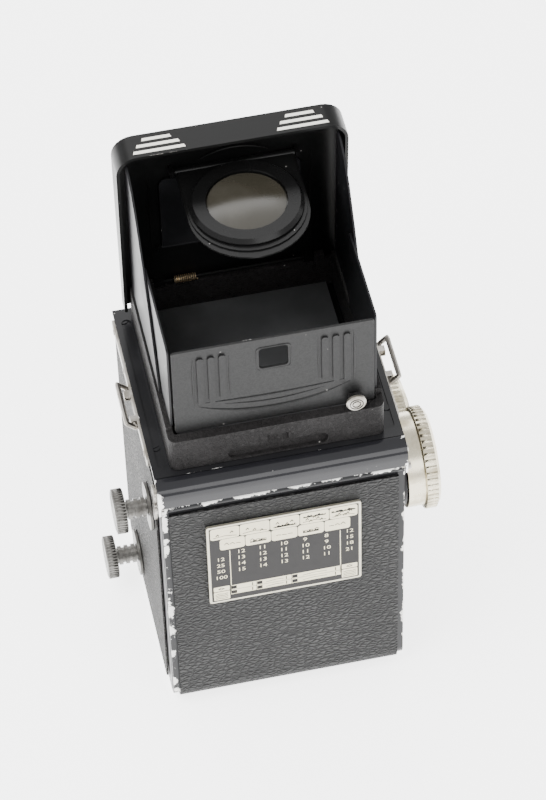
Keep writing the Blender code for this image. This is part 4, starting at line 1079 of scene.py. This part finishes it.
@dataclass
class Ink:
    """Flat patches of ink on the exposure table."""

    shape: bmesh.types.BMesh
    plane: Matrix
    thickness: float = 0.00002

    def blot(self, corners: list[tuple[float, float]]) -> None:
        """A flat patch of ink."""
        strip(self.shape, [self.plane @ Vector((x * MM, z * MM, 0.00003)) for x, z in corners],
              Vector((0, 1, 0)), self.thickness)

    def mark(self, points: list[tuple[float, float]], thick: float) -> None:
        """A flat stroke of ink."""
        for (x0, z0), (x1, z1) in zip(points, points[1:]):
            along = Vector((x1 - x0, z1 - z0)).normalized() * thick
            side = Vector((-along.y, along.x)) * 1.1
            self.blot([(x0 - along.x * 0.4 + side.x, z0 - along.y * 0.4 + side.y),
                       (x0 - along.x * 0.4 - side.x, z0 - along.y * 0.4 - side.y),
                       (x1 + along.x * 0.4 - side.x, z1 + along.y * 0.4 - side.y),
                       (x1 + along.x * 0.4 + side.x, z1 + along.y * 0.4 + side.y)])

    def thicket(self, middle: float, z: float, width: float, seed: float,
                count: int = 14) -> None:
        """A dark ragged silhouette along a cell's horizon."""
        crest = [(middle + width * (0.5 - i / count),
                  z + 0.75 + 0.55 * math.sin(1.9 * i + seed) * math.cos(0.8 * i))
                 for i in range(count + 1)]
        self.blot([(middle - width / 2, z), (middle + width / 2, z)] + crest)


@dataclass
class Door:
    """The L-shaped back door, its leather and the exposure table."""

    shop: Shop
    table_x: tuple[float, float] = (-23.2, 24.4)
    table_z: tuple[float, float] = (-56.5, -19.3)
    rim: float = 0.75
    rim_lean: float = 0.0006      # the left rim is rubbed more than the right

    def dress(self) -> None:
        """Give the door its finishes and print the table."""
        shop = self.shop
        centre, half = middle_and_half("back_door")
        enamel = Enamel("door_enamel", shop.groups, roughness=0.3, wear=Wear.HEAVY,
                        centre=(centre.x - self.rim_lean, centre.y, centre.z),
                        half=tuple(half), reach=0.0026,
                        bare=(0.80, 0.79, 0.76)).build()
        shop.paint(enamel, "back_door")
        # high is the painted highlight colour on the grain's tops.
        shop.paint(Leather("back_leather", shop.groups, low=(0.002, 0.002, 0.002),
                           high=(0.015, 0.0148, 0.0142), speckle=0.04).build(), "back_leather")
        shop.paint(shop.finishes["steel"], "pressure_spring", "tripod_bush", "door_latch")
        self._table()

    def _plane(self, lift: float) -> Matrix:
        """From the table's plane, x to the right as read and y up, to the frame."""
        origin = place((self.table_x[0] + self.table_x[1]) / 2,
                       TABLE_FACE, (self.table_z[0] + self.table_z[1]) / 2)
        origin.y += lift
        turn = Matrix(((-1, 0, 0), (0, 0, 1), (0, 1, 0))).to_4x4()
        return Matrix.Translation(origin) @ turn

    def _table(self) -> None:
        """The enamelled exposure table: rim, dark field, cream cells and figures."""
        shop = self.shop
        box_low, box_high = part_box("exposure_table")
        face = box_high.y - (TABLE_FACE + DECK_REAR) * MM
        width = (box_high.x - box_low.x) / MM
        height = (box_high.z - box_low.z) / MM
        cream = Plain("table_cream", (0.74, 0.68, 0.50), 0.35).build()
        ink = Plain("table_ink", (0.012, 0.011, 0.01), 0.6).build()
        field_grey = Plain("table_field", (0.012, 0.011, 0.011), 0.35).build()
        silver = Plain("table_rim", (0.50, 0.47, 0.38), 0.32, 0.8, 0.35).build()
        shop.paint(silver, "exposure_table")
        plane = self._plane(face)
        plane_flat = self._plane(face - 0.00002)

        def cells(name: str, boxes: list[tuple], finish: bpy.types.Material,
                  raised: float, frame: Matrix) -> None:
            """Print a set of cells as one mesh."""
            shape = bmesh.new()
            for x0, z0, x1, z1, radius in boxes:
                outline = [frame @ Vector((x * MM, z * MM, 0))
                           for x, z in rounded_box(x0, z0, x1, z1, radius, 3)]
                strip(shape, outline, Vector((0, 1, 0)), raised)
            shop.keep(to_object(name, shape, [finish], smooth=False), "door", "table_enamel")

        left, bottom = -width / 2 + self.rim, -height / 2 + self.rim
        right, top = -left, -bottom
        cells("table_field_plate", [(left, bottom, right, top, 0.4)], field_grey, 0.00004,
              plane_flat)
        row, gap, corner = 5.3, 0.09, 0.9
        upper = [left + 0.3, left + 9.4, left + 18.7, left + 27.9, left + 37.0, right - 0.3]
        lower = [left + 3.1, left + 11.0, left + 19.0, left + 27.2, left + 35.4, right - 2.6]
        boxes = [(a + gap, top - 0.2 - row, b - gap, top - 0.2, corner)
                 for a, b in zip(upper, upper[1:])]
        boxes += [(a + gap, top - 0.3 - 2 * row, b - gap, top - 0.38 - row, corner)
                  for a, b in zip(lower, lower[1:])]
        strip_top = bottom + 5.0
        boxes += [(left + 0.6, strip_top - 0.2, left + 5.6, strip_top + 2.0, 0.3),
                  (right - 5.4, strip_top - 0.2, right - 0.5, strip_top + 2.0, 0.3)]
        edges = [left + 5.9, left + 13.9, left + 24.9, right - 5.6]
        for line in range(2):
            z1 = strip_top - line * 2.3 + 1.8
            boxes += [(a + 0.06, z1 - 2.15, b - 0.06, z1, 0.15) for a, b in zip(edges, edges[1:])]
        boxes += [(left + 0.6, bottom + 0.5, left + 5.6, strip_top - 0.5, 0.3),
                  (right - 5.4, bottom + 0.5, right - 0.5, strip_top - 0.5, 0.3)]
        boxes += [(left + 6.0, bottom + 3.2, left + 6.25, top - 11.6, 0.05),
                  (right - 5.9, bottom + 3.2, right - 5.65, top - 11.6, 0.05)]
        cells("table_cells", boxes, cream, 0.00003, plane)
        layout = TableLayout(left, right, bottom, top, strip_top, tuple(upper), tuple(lower),
                             row)
        self._figures(layout, plane, cream)
        self._pictures(layout, plane, ink)

    def _figures(self, table: TableLayout, plane: Matrix, cream: bpy.types.Material) -> None:
        """The table's columns of figures."""
        columns = ((12, 13, 14, 15), (11, 12, 13, 14), (10, 11, 12, 13), (9, 10, 11, 12),
                   (8, 9, 10, 11))
        step = (table.right - table.left - 13.0) / 5
        blocks = [(column, table.left + 6.6 + step * (i + 0.45), table.top - 12.9, 1.75)
                  for i, column in enumerate(columns)]
        blocks += [((12, 25, 50, 100), table.left + 3.2, table.top - 15.4, 1.7),
                   ((12, 15, 18, 21), table.right - 2.9, table.top - 12.6, 1.7)]
        lines = [(str(number), x, z - 2.95 * k, size) for numbers, x, z, size in blocks
                 for k, number in enumerate(numbers)]
        self.shop.keep(printed("table_figures", lines, cream, plane, font_width=1.15), "door",
                       "table_enamel")

    def _pictures(self, table: TableLayout, plane: Matrix, ink: bpy.types.Material) -> None:
        """The small pictures in the table's cells and rows."""
        shape = bmesh.new()
        pen = Ink(shape, plane)
        self._cell_pictures(table, pen)
        self._row_pictures(table, pen)
        self.shop.keep(to_object("table_pictures", shape, [ink], smooth=False), "door",
                       "table_enamel")

    @staticmethod
    def _cell_pictures(table: TableLayout, pen: Ink) -> None:
        """Strokes and ragged silhouettes in the two rows of cells."""
        mark, thicket, upper, lower = pen.mark, pen.thicket, table.upper, table.lower
        for cell in range(5):
            middle = (upper[cell] + upper[cell + 1]) / 2
            z = table.top - 0.2 - table.row / 2
            for k in range(cell + 2):
                x = middle - 2.2 + 4.4 * k / (cell + 1)
                lift = 0.9 * math.sin(2.1 * k + cell)
                mark([(x - 0.5, z - 1.0 + lift), (x, z - 0.2 + lift), (x + 0.35, z - 0.9 + lift)],
                     0.13)
            mark([(upper[cell] + 1.0, z - 1.7), (middle, z - 1.2),
                  (upper[cell + 1] - 1.0, z - 1.8)], 0.09)
            if cell > 1:
                thicket(middle, z + (0.3 if cell > 2 else -1.9), 5.4 + 0.5 * cell, cell)
            middle = (lower[cell] + lower[cell + 1]) / 2
            z -= table.row
            if cell % 2:
                thicket(middle, z - 1.5, 5.0, 2.0 + cell)
            for k in range(3):
                x = middle - 1.8 + 1.8 * k
                mark([(x - 0.7, z - 0.4), (x, z + 0.5 * math.cos(k + cell)), (x + 0.7, z - 0.5)],
                     0.10)

    @staticmethod
    def _row_pictures(table: TableLayout, pen: Ink) -> None:
        """Blots and strokes in the two narrow rows and the end cells."""
        mark, blot, left, right = pen.mark, pen.blot, table.left, table.right
        for line in range(2):
            z = table.strip_top - line * 2.3 + 0.7
            for x in (left + 6.9, left + 14.9, left + 25.9):
                blot([(x - 0.8, z - 0.75), (x + 0.9, z - 0.75), (x + 0.9, z + 0.75),
                      (x - 0.8, z + 0.75)])
            for x in (left + 12.7, left + 23.3, right - 7.4):
                mark([(x, z - 0.7), (x, z + 0.7)], 0.13)
            mark([(left + 17.0, z - 0.3), (left + 20.0, z + 0.2), (left + 22.3, z)], 0.07)
            mark([(left + 28.5, z - 0.3), (left + 32.0, z + 0.2), (left + 36.0, z)], 0.07)
        for x0 in (left + 0.9, right - 5.1):
            for k in range(4):
                z = table.bottom + 1.0 + 0.75 * k
                mark([(x0 + 0.2, z), (x0 + 1.4, z + 0.3), (x0 + 2.8, z), (x0 + 4.1, z + 0.3)], 0.09)
            z = table.strip_top + 0.9
            mark([(x0 + 1.2, z), (x0 + 2.1, z + 0.45), (x0 + 3.0, z), (x0 + 2.1, z - 0.45),
                  (x0 + 1.2, z)], 0.11)


@dataclass
class Hood:
    """The viewing hood: ridge, lid, leaves, back panel and magnifier."""

    shop: Shop
    stripe_raise: float = 0.00003
    stripe_middle: float = 21.4
    stripe_lengths: tuple[float, float, float] = (15.6, 13.0, 8.9)
    lid_top: float = 75.5
    lid_rear: float = -58.2

    def dress(self) -> None:
        """Give the hood its finishes and small fittings."""
        shop = self.shop
        ridge = Enamel.around("hood_base", "ridge_wrinkle", shop.groups,
                              color=(0.013, 0.012, 0.012), roughness=0.45, wrinkle=1.6,
                              wear=Wear.LIGHT, reach=0.0006, bare=(0.3, 0.3, 0.3),
                              dusty=0.5).build()
        centre, half = middle_and_half("back_panel")
        panel = Enamel("panel_satin", shop.groups, color=(0.009, 0.009, 0.009), roughness=0.42,
                       wrinkle=0.02, wear=Wear.LIGHT, centre=tuple(centre),
                       half=(half.x, 0.0006, half.z), reach=0.0005,
                       bare=(0.35, 0.34, 0.33), dusty=0.15).build()
        lid = Enamel.around("lid", "lid_enamel", shop.groups, color=(0.003, 0.003, 0.003),
                            roughness=0.3, wear=Wear.LIGHT, reach=0.0005,
                            bare=(0.3, 0.29, 0.27), dusty=0.2).build()
        leaf = Enamel("leaf_enamel", shop.groups, color=(0.008, 0.008, 0.009), roughness=0.34,
                      dusty=0.6).build()
        ring = Enamel("magnifier_enamel", shop.groups, color=(0.004, 0.004, 0.004),
                      roughness=0.26, dusty=0.2).build()
        shop.paint(ridge, "hood_base")
        shop.paint(panel, "back_panel")
        shop.paint(lid, "lid")
        shop.paint(leaf, "rear_leaf_left", "rear_leaf_right", "front_leaf_left",
                   "front_leaf_right", "finder_flap")
        shop.paint(ring, "magnifier_arm", "magnifier_ring")
        shop.paint(Glass("magnifier_glass", tint=(0.028, 0.025, 0.018), roughness=0.2).build(),
                   "magnifier_lens")
        shop.paint(Glass("ground_screen", tint=(0.03, 0.031, 0.032), roughness=0.5).build(),
                   "focusing_screen")
        shop.paint(Plain("mirror_silver", (0.9, 0.9, 0.9), 0.03, 1.0, 0.05).build(), "mirror")
        shop.paint(shop.finishes["steel"], "catch_button")
        shop.paint(shop.finishes["dark"], "lid_hinge_pin")
        self._stripes()
        self._catch_rings()
        self._panel_relief(panel)
        self._spring(lid)

    def _stripes(self) -> None:
        """Two groups of three silver stripes on the lid's flange."""
        shape = bmesh.new()
        for side in (-1, 1):
            for k in range(3):
                y0 = self.lid_rear - 1.35 - 2.45 * k
                y1 = y0 - 1.15
                outer = self.stripe_middle + self.stripe_lengths[k] / 2
                inner = outer - self.stripe_lengths[k]
                slant = 0.35
                points = [(inner, y0), (outer, y0), (outer - slant, y1), (inner + slant, y1)]
                strip(shape, [place(side * x, y, self.lid_top) for x, y in points],
                      Vector((0, 0, 1)), self.stripe_raise)
        stripes = to_object("lid_stripes", shape, [self.shop.finishes["steel_pale"]],
                            smooth=False)
        self.shop.keep(stripes, "hood_lid", "bright_steel")

    def _catch_rings(self) -> None:
        """Turned rings on the catch button's face."""
        low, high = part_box("catch_button")
        middle = (low + high) / 2
        centre = Vector((middle.x, high.y, middle.z))
        radius = (high.x - low.x) / 2
        shape = bmesh.new()
        for share in (0.36, 0.62):
            inner = radius * share
            band(shape, (inner, inner + 0.0002), (-0.0002, 0.00015), centre,
                 Vector((0, 1, 0)), 28)
        rings = to_object("catch_rings", shape, [self.shop.finishes["dark"]])
        self.shop.keep(rings, "catch", "bright_steel")

    def _panel_relief(self, panel: bpy.types.Material) -> None:
        """The pressed frame on the back panel: side posts, floor line and long curve."""
        shape = bmesh.new()
        face = -5.2 + 0.4

        def ridge(points: list[tuple[float, float]], radius: float) -> None:
            """One pressed line."""
            tube_along(shape, [place(x, face, z) for x, z in points], radius * MM, 8, True)

        half_width = 22.6
        across = [half_width - 2 * half_width * i / 24 for i in range(25)]
        ridge([(x, 18.3 + 5.1 * (abs(x) / half_width) ** 2.2) for x in across], 0.45)
        for reach, height, sag, radius in ((20.8, 24.7, 0.9, 0.32), (15.0, 22.9, 1.7, 0.26)):
            ridge([(reach - 2 * reach * i / 16, height - sag * math.sin(math.pi * i / 16))
                   for i in range(17)], radius)
        outer_post = ((23.8, 23.2), (24.0, 30.0), (24.0, 40.0), (23.8, 45.2))
        inner_post = ((13.2, 27.0), (13.2, 34.0), (13.2, 44.8))
        for post, radius in ((outer_post, 0.34), (inner_post, 0.24)):
            for side in (-1, 1):
                ridge([(side * x, z) for x, z in post], radius)
        border = rounded_box(-5.1, 35.0, 5.1, 44.8, 1.3)
        ridge([(x, z - 0.1) for x, z in border] + [border[0]], 0.22)
        self.shop.keep(to_object("panel_relief", shape, [panel]), "hood_back", "crackle_enamel")

    def _spring(self, lid: bpy.types.Material) -> None:
        """The lid's coil spring, its pressed arch and side pressings, and the ridge screw."""
        shape = bmesh.new()
        turns, count = 11, 132
        path = []
        for i in range(count + 1):
            angle = 2 * math.pi * turns * i / count
            path.append(place(18.6 - 7.0 * i / count, -65.0 + 1.05 * math.cos(angle),
                              13.3 + 1.05 * math.sin(angle)))
        tube_along(shape, path, 0.24 * MM, 6)
        self.shop.keep(to_object("lid_spring", shape, [self.shop.finishes["brass"]]),
                       "camera_body", "old_brass")
        shape = bmesh.new()
        arch = []
        for i in range(17):
            x = 10.5 - 21.0 * i / 16
            arch.append(place(x - 1.4, -66.1, 65.4 - 3.2 * (x / 10.5) ** 2))
        tube_along(shape, arch, 0.45 * MM, 8, True)
        self.shop.keep(to_object("lid_arch", shape, [lid]), "hood_lid", "black_enamel")
        shape = bmesh.new()
        for side in (-1, 1):
            path = [place(side * 24.6, -66.35, z) for z in (20.0, 40.0, 58.0)]
            tube_along(shape, path, 0.35 * MM, 6, True)
        self.shop.keep(to_object("lid_pressings", shape, [lid]), "hood_lid", "black_enamel")
        spots = [(place(-27.4, -3.5, 13.05), Vector((0, 0, 1)))]
        self.shop.screws("ridge_screws", spots, 0.0008, 0.0002, "deck", "camera_body",
                         "black_enamel")


@dataclass
class Knobs:
    """The winding, focusing and spool knobs."""

    shop: Shop
    wind_radius: float = 15.6
    focus_radius: float = 17.0
    spool_radius: float = 6.8

    def dress(self) -> None:
        """Give the knobs their finishes, ribs and faces."""
        shop = self.shop
        for name, (y, z), tint in (("wind_knob", TAKE_UP, 0.6), ("focus_knob", FOCUS, 0.7)):
            metal = TurnedMetal(f"{name}_metal", shop.groups, color=(0.62, 0.57, 0.44),
                                tarnish=(0.33, 0.28, 0.18), share=tint, roughness=0.22,
                                axis=tuple(place(0, y, z))).build()
            shop.paint(metal, name)
            shop.finishes[name] = metal
        rib_inset = 0.3
        self._ribs("wind_ribs", "winder", TAKE_UP, -1, 46.75, 48, self.wind_radius - rib_inset,
                   0.6, 3.3, "wind_knob")
        self._ribs("focus_ribs", "focusing", FOCUS, -1, 43.7, 52, self.focus_radius - rib_inset,
                   0.62, 6.6, "focus_knob")
        for name, body, spot in (("spool_knob_upper", "knob_upper", TAKE_UP),
                                 ("spool_knob_lower", "knob_lower", SUPPLY)):
            metal = TurnedMetal(f"{name}_metal", shop.groups, color=(0.17, 0.165, 0.155),
                                tarnish=(0.06, 0.055, 0.05), share=0.6, roughness=0.3,
                                axis=tuple(place(0, *spot))).build()
            shop.paint(metal, name, name.replace("spool_knob", "knob_flange"))
            shop.finishes[name] = metal
            self._ribs(f"{name}_ribs", body, spot, 1, 47.65, 44, self.spool_radius - 0.1, 0.27,
                       3.1, name)
            self._face(f"{name}_face", body, spot, 1, 2.3, 4.6, metal)
        self._face("wind_face", "winder", TAKE_UP, -1, 4.2, 11.0, shop.finishes["wind_knob"])
        self._face("focus_face", "focusing", FOCUS, -1, 4.6, 12.0, shop.finishes["focus_knob"])
        self._dials()

    def _ribs(self, name: str, body: str, spot: tuple[float, float], side: int, middle: float,
              count: int, radius: float, rib: float, length: float, finish: str) -> None:
        """One band of ribs round a knob."""
        made = self.shop.repeater.rib_band(
            name, place(side * middle, *spot), Vector((side, 0, 0)), count, radius * MM,
            rib * MM, length * MM, self.shop.finishes[finish])
        self.shop.keep(made, body, "turned_aluminium")

    def _face(self, name: str, body: str, spot: tuple[float, float], side: int, inner: float,
              outer: float, finish: bpy.types.Material) -> None:
        """Two shallow rings on a knob's face, flush inside its end."""
        shape = bmesh.new()
        centre, axis = place(side * KNOB_END, *spot), Vector((side, 0, 0))
        high = -0.00002
        for ring in (inner, outer):
            band(shape, (ring * MM, (ring + 0.35) * MM), (high - 0.0002, high), centre, axis, 40)
        self.shop.keep(to_object(name, shape, [finish]), body, "turned_aluminium")

    def _dials(self) -> None:
        """Ticks on the counter disc and the distance scale, both given a dark finish."""
        shop = self.shop
        dark = Plain("dial_black", (0.02, 0.02, 0.021), 0.35).build()
        white = Plain("dial_white", (0.75, 0.74, 0.7), 0.4).build()
        shop.paint(dark, "counter_dial", "distance_scale")
        for name, body, (y, z), reach, edge in (
                ("counter_ticks", "counter", TAKE_UP, 39.05, 12.6),
                ("distance_ticks", "camera_body", FOCUS, 39.45, 15.7)):
            ticks = shop.repeater.rib_band(name, place(-reach, y, z), Vector((-1, 0, 0)), 24,
                                           edge * MM, 0.16 * MM, 0.16 * MM, white)
            shop.keep(ticks, body, "table_enamel")


@dataclass
class Front:
    """The focusing front: lens board, shutter, lenses, levers and sockets."""

    shop: Shop
    plate_width: float = 34.0
    plate_height: float = 9.0
    ring_radius: float = 20.9
    figure_radius: float = 19.6
    figure_height: float = 1.2

    def dress(self) -> None:
        """Give the front its finishes and fittings."""
        shop = self.shop
        board = Enamel.around("lens_board", "board_wrinkle", shop.groups,
                              color=(0.03, 0.03, 0.03), roughness=0.45, wrinkle=1.0,
                              wear=Wear.LIGHT, reach=0.0007).build()
        case = Enamel("shutter_enamel", shop.groups, color=(0.012, 0.012, 0.012),
                      roughness=0.25).build()
        shop.paint(board, "lens_board")
        shop.paint(case, "shutter_housing")
        shop.paint(shop.finishes["steel"], "viewing_lens_barrel", "taking_lens_barrel",
                   "sync_socket", "cable_socket", "stop_lever", "speed_lever", "release_lever")
        shop.paint(shop.finishes["brass"], "focus_rack")
        glass = Glass("coated_glass", tint=(0.02, 0.018, 0.035), roughness=0.03).build()
        shop.paint(glass, "viewing_lens", "taking_lens")
        self._name_plate()
        self._board_screws()
        self._shutter_face()
        self._leather()

    def _name_plate(self) -> None:
        """The blank plate between the viewing lens and the deck."""
        shape = bmesh.new()
        outline = rounded_box(-self.plate_width / 2, -10.2, self.plate_width / 2,
                              -10.2 + self.plate_height, 1.4)
        bottom = min(z for _, z in outline)
        strip(shape, [place(x, BOARD_FACE + 0.05, z) for x, z in outline], Vector((0, -1, 0)),
              0.0006)
        inner = rounded_box(-self.plate_width / 2 + 1, bottom + 1, self.plate_width / 2 - 1,
                            bottom + self.plate_height - 1, 0.9)
        strip(shape, [place(x, BOARD_FACE - 0.5, z) for x, z in inner], Vector((0, -1, 0)),
              0.00015, 1)
        plate = to_object("name_plate", shape, [self.shop.finishes["steel"],
                                                self.shop.finishes["dark"]])
        self.shop.keep(plate, "front_standard", "bright_steel")

    def _board_screws(self) -> None:
        """The four screws in the lens board's corners."""
        spots = [(place(side * 26.5, BOARD_FACE - 0.15, z), Vector((0, -1, 0)))
                 for side in (-1, 1) for z in (-4.5, -94.0)]
        self.shop.screws("board_screws", spots, 0.0013, 0.0005, "steel", "front_standard",
                         "bright_steel")

    def _shutter_face(self) -> None:
        """Rings, ticks and figures on the shutter's face."""
        shop = self.shop
        face = BOARD_FACE - 0.3 - 8.4
        centre, axis = place(0, face, TAKING_Z), Vector((0, -1, 0))
        shape = bmesh.new()
        inner, outer = self.ring_radius * MM, (self.ring_radius + 0.4) * MM
        band(shape, (inner, outer), (-0.0001, 0.00018), centre, axis, 72)
        shop.keep(to_object("shutter_ring", shape, [shop.finishes["steel"]]), "front_standard",
                  "bright_steel")
        white = Plain("scale_white", (0.78, 0.77, 0.72), 0.4).build()
        ticks = shop.repeater.rib_band("shutter_ticks", place(0, BOARD_FACE - 4.4, TAKING_Z),
                                       Vector((0, -1, 0)), 36, 22.98 * MM, 0.09 * MM, 1.6 * MM,
                                       white)
        shop.keep(ticks, "front_standard", "table_enamel")
        lines = []
        for first, step, texts in ((150, -20, ("1", "2", "5", "10", "25", "50", "100")),
                                   (-150, 24, ("3.5", "5.6", "8", "11", "16", "22"))):
            for k, text in enumerate(texts):
                angle = math.radians(first + step * k)
                lines.append((text, self.figure_radius * math.cos(angle),
                              self.figure_radius * math.sin(angle), self.figure_height))
        frame = Matrix.Translation(place(0, face - 0.02, TAKING_Z)) @ Matrix(
            ((1, 0, 0), (0, 0, -1), (0, 1, 0))).to_4x4()
        shop.keep(printed("shutter_figures", lines, white, frame), "front_standard",
                  "table_enamel")

    def _leather(self) -> None:
        """Thin leather panels down both sides of the lens board."""
        shape = bmesh.new()
        for side in (-1, 1):
            outline = rounded_box(23.6, -92.0, 29.4, -58.0, 0.8)
            points = [place(side * x, BOARD_FACE + 0.05, z) for x, z in outline]
            strip(shape, points, Vector((0, -1, 0)), 0.0005)
        leather = Leather("front_leather", self.shop.groups).build()
        self.shop.keep(to_object("board_leather", shape, [leather]), "front_standard",
                       "covering_leather")


@dataclass
class Studio:
    """The floor, the soft lights and the camera."""

    focal: float = 162.0
    position: tuple[float, float, float] = (0.12812, 0.70874, 0.93185)
    azimuth: float = 169.262
    elevation: float = 49.583
    roll: float = -1.83

    def build(self) -> None:
        """Make the stage, lights and camera."""
        self._floor()
        self._lights()
        self._camera()

    def _floor(self) -> None:
        """A plain pale floor."""
        shape = bmesh.new()
        bmesh.ops.create_grid(shape, x_segments=1, y_segments=1, size=4.0)
        for vertex in shape.verts:
            vertex.co.z = -0.0002
        floor = to_object("studio_floor", shape, [], smooth=False)
        material = bpy.data.materials.new("floor_paper")
        material.use_nodes = True
        shader = material.node_tree.nodes["Principled BSDF"]
        shader.inputs["Base Color"].default_value = (0.92, 0.92, 0.92, 1)
        shader.inputs["Roughness"].default_value = 0.9
        shader.inputs["Emission Color"].default_value = (1, 1, 1, 1)
        shader.inputs["Emission Strength"].default_value = 3.2
        floor.data.materials.append(material)

    def _lights(self) -> None:
        """Large soft boxes and a white surround."""
        world = bpy.data.worlds.new("studio")
        bpy.context.scene.world = world
        world.use_nodes = True
        sky = world.node_tree.nodes["Background"]
        sky.inputs["Color"].default_value = (1.0, 1.0, 1.0, 1)
        sky.inputs["Strength"].default_value = 1.25
        for name, spot, size, power in (("key", (0.75, 0.25, 1.5), (1.0, 1.0), 28.0),
                                        ("rear", (-0.5, 1.1, 0.8), (1.0, 0.7), 9.0),
                                        ("front", (0.1, -1.2, 1.1), (1.2, 0.8), 9.0)):
            data = bpy.data.lights.new(name, "AREA")
            data.shape = "RECTANGLE"
            data.size, data.size_y = size
            data.energy = power
            lamp = add_object(name, data)
            lamp.location = spot
            aim = Vector((0, 0, 0.08)) - Vector(spot)
            lamp.rotation_mode = "QUATERNION"
            lamp.rotation_quaternion = aim.to_track_quat("-Z", "Y")

    def _camera(self) -> None:
        """The camera, looking down on the subject from behind."""
        az, el = math.radians(self.azimuth), math.radians(self.elevation)
        back = Vector((math.sin(az) * math.cos(el), -math.cos(az) * math.cos(el), math.sin(el)))
        right = (-back).cross(Vector((0, 0, 1))).normalized()
        up = right.cross(-back)
        c, s = math.cos(math.radians(self.roll)), math.sin(math.radians(self.roll))
        across, above = right * c + up * s, up * c - right * s
        data = bpy.data.cameras.new("view_camera")
        data.lens = self.focal
        data.sensor_width = 36.0
        data.clip_start, data.clip_end = 0.05, 20.0
        camera = add_object("view_camera", data)
        turn = Matrix((across, above, back)).transposed().to_4x4()
        camera.matrix_world = Matrix.Translation(Vector(self.position)) @ turn
        bpy.context.scene.camera = camera


def main() -> None:
    """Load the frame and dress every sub-assembly."""
    logging.basicConfig(level=logging.INFO, format="%(name)s: %(message)s")
    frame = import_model()
    groups = Groups.build()
    shop = Shop(frame["nodes"], groups, Repeater())
    shop.finishes["steel"] = TurnedMetal(
        "bright_steel", groups, color=(0.42, 0.40, 0.37), tarnish=(0.22, 0.20, 0.16), share=0.7,
        roughness=0.3).build()
    shop.finishes["steel_pale"] = Plain("stripe_silver", (0.86, 0.84, 0.77), 0.3, 0.35,
                                        0.15).build()
    shop.finishes["brass"] = TurnedMetal(
        "old_brass", groups, color=(0.72, 0.58, 0.38), tarnish=(0.3, 0.2, 0.1), share=0.7,
        roughness=0.35).build()
    Studio().build()
    for assembly in (Body(shop), Door(shop), Hood(shop), Knobs(shop), Front(shop)):
        assembly.dress()
    shop.soften({name: slot for slot, names in ROUND_NODES.items() for name in names})
    LOG.info("%d pieces made around %d frame nodes", shop.made, len(shop.nodes))


if __name__ == "__main__":
    main()
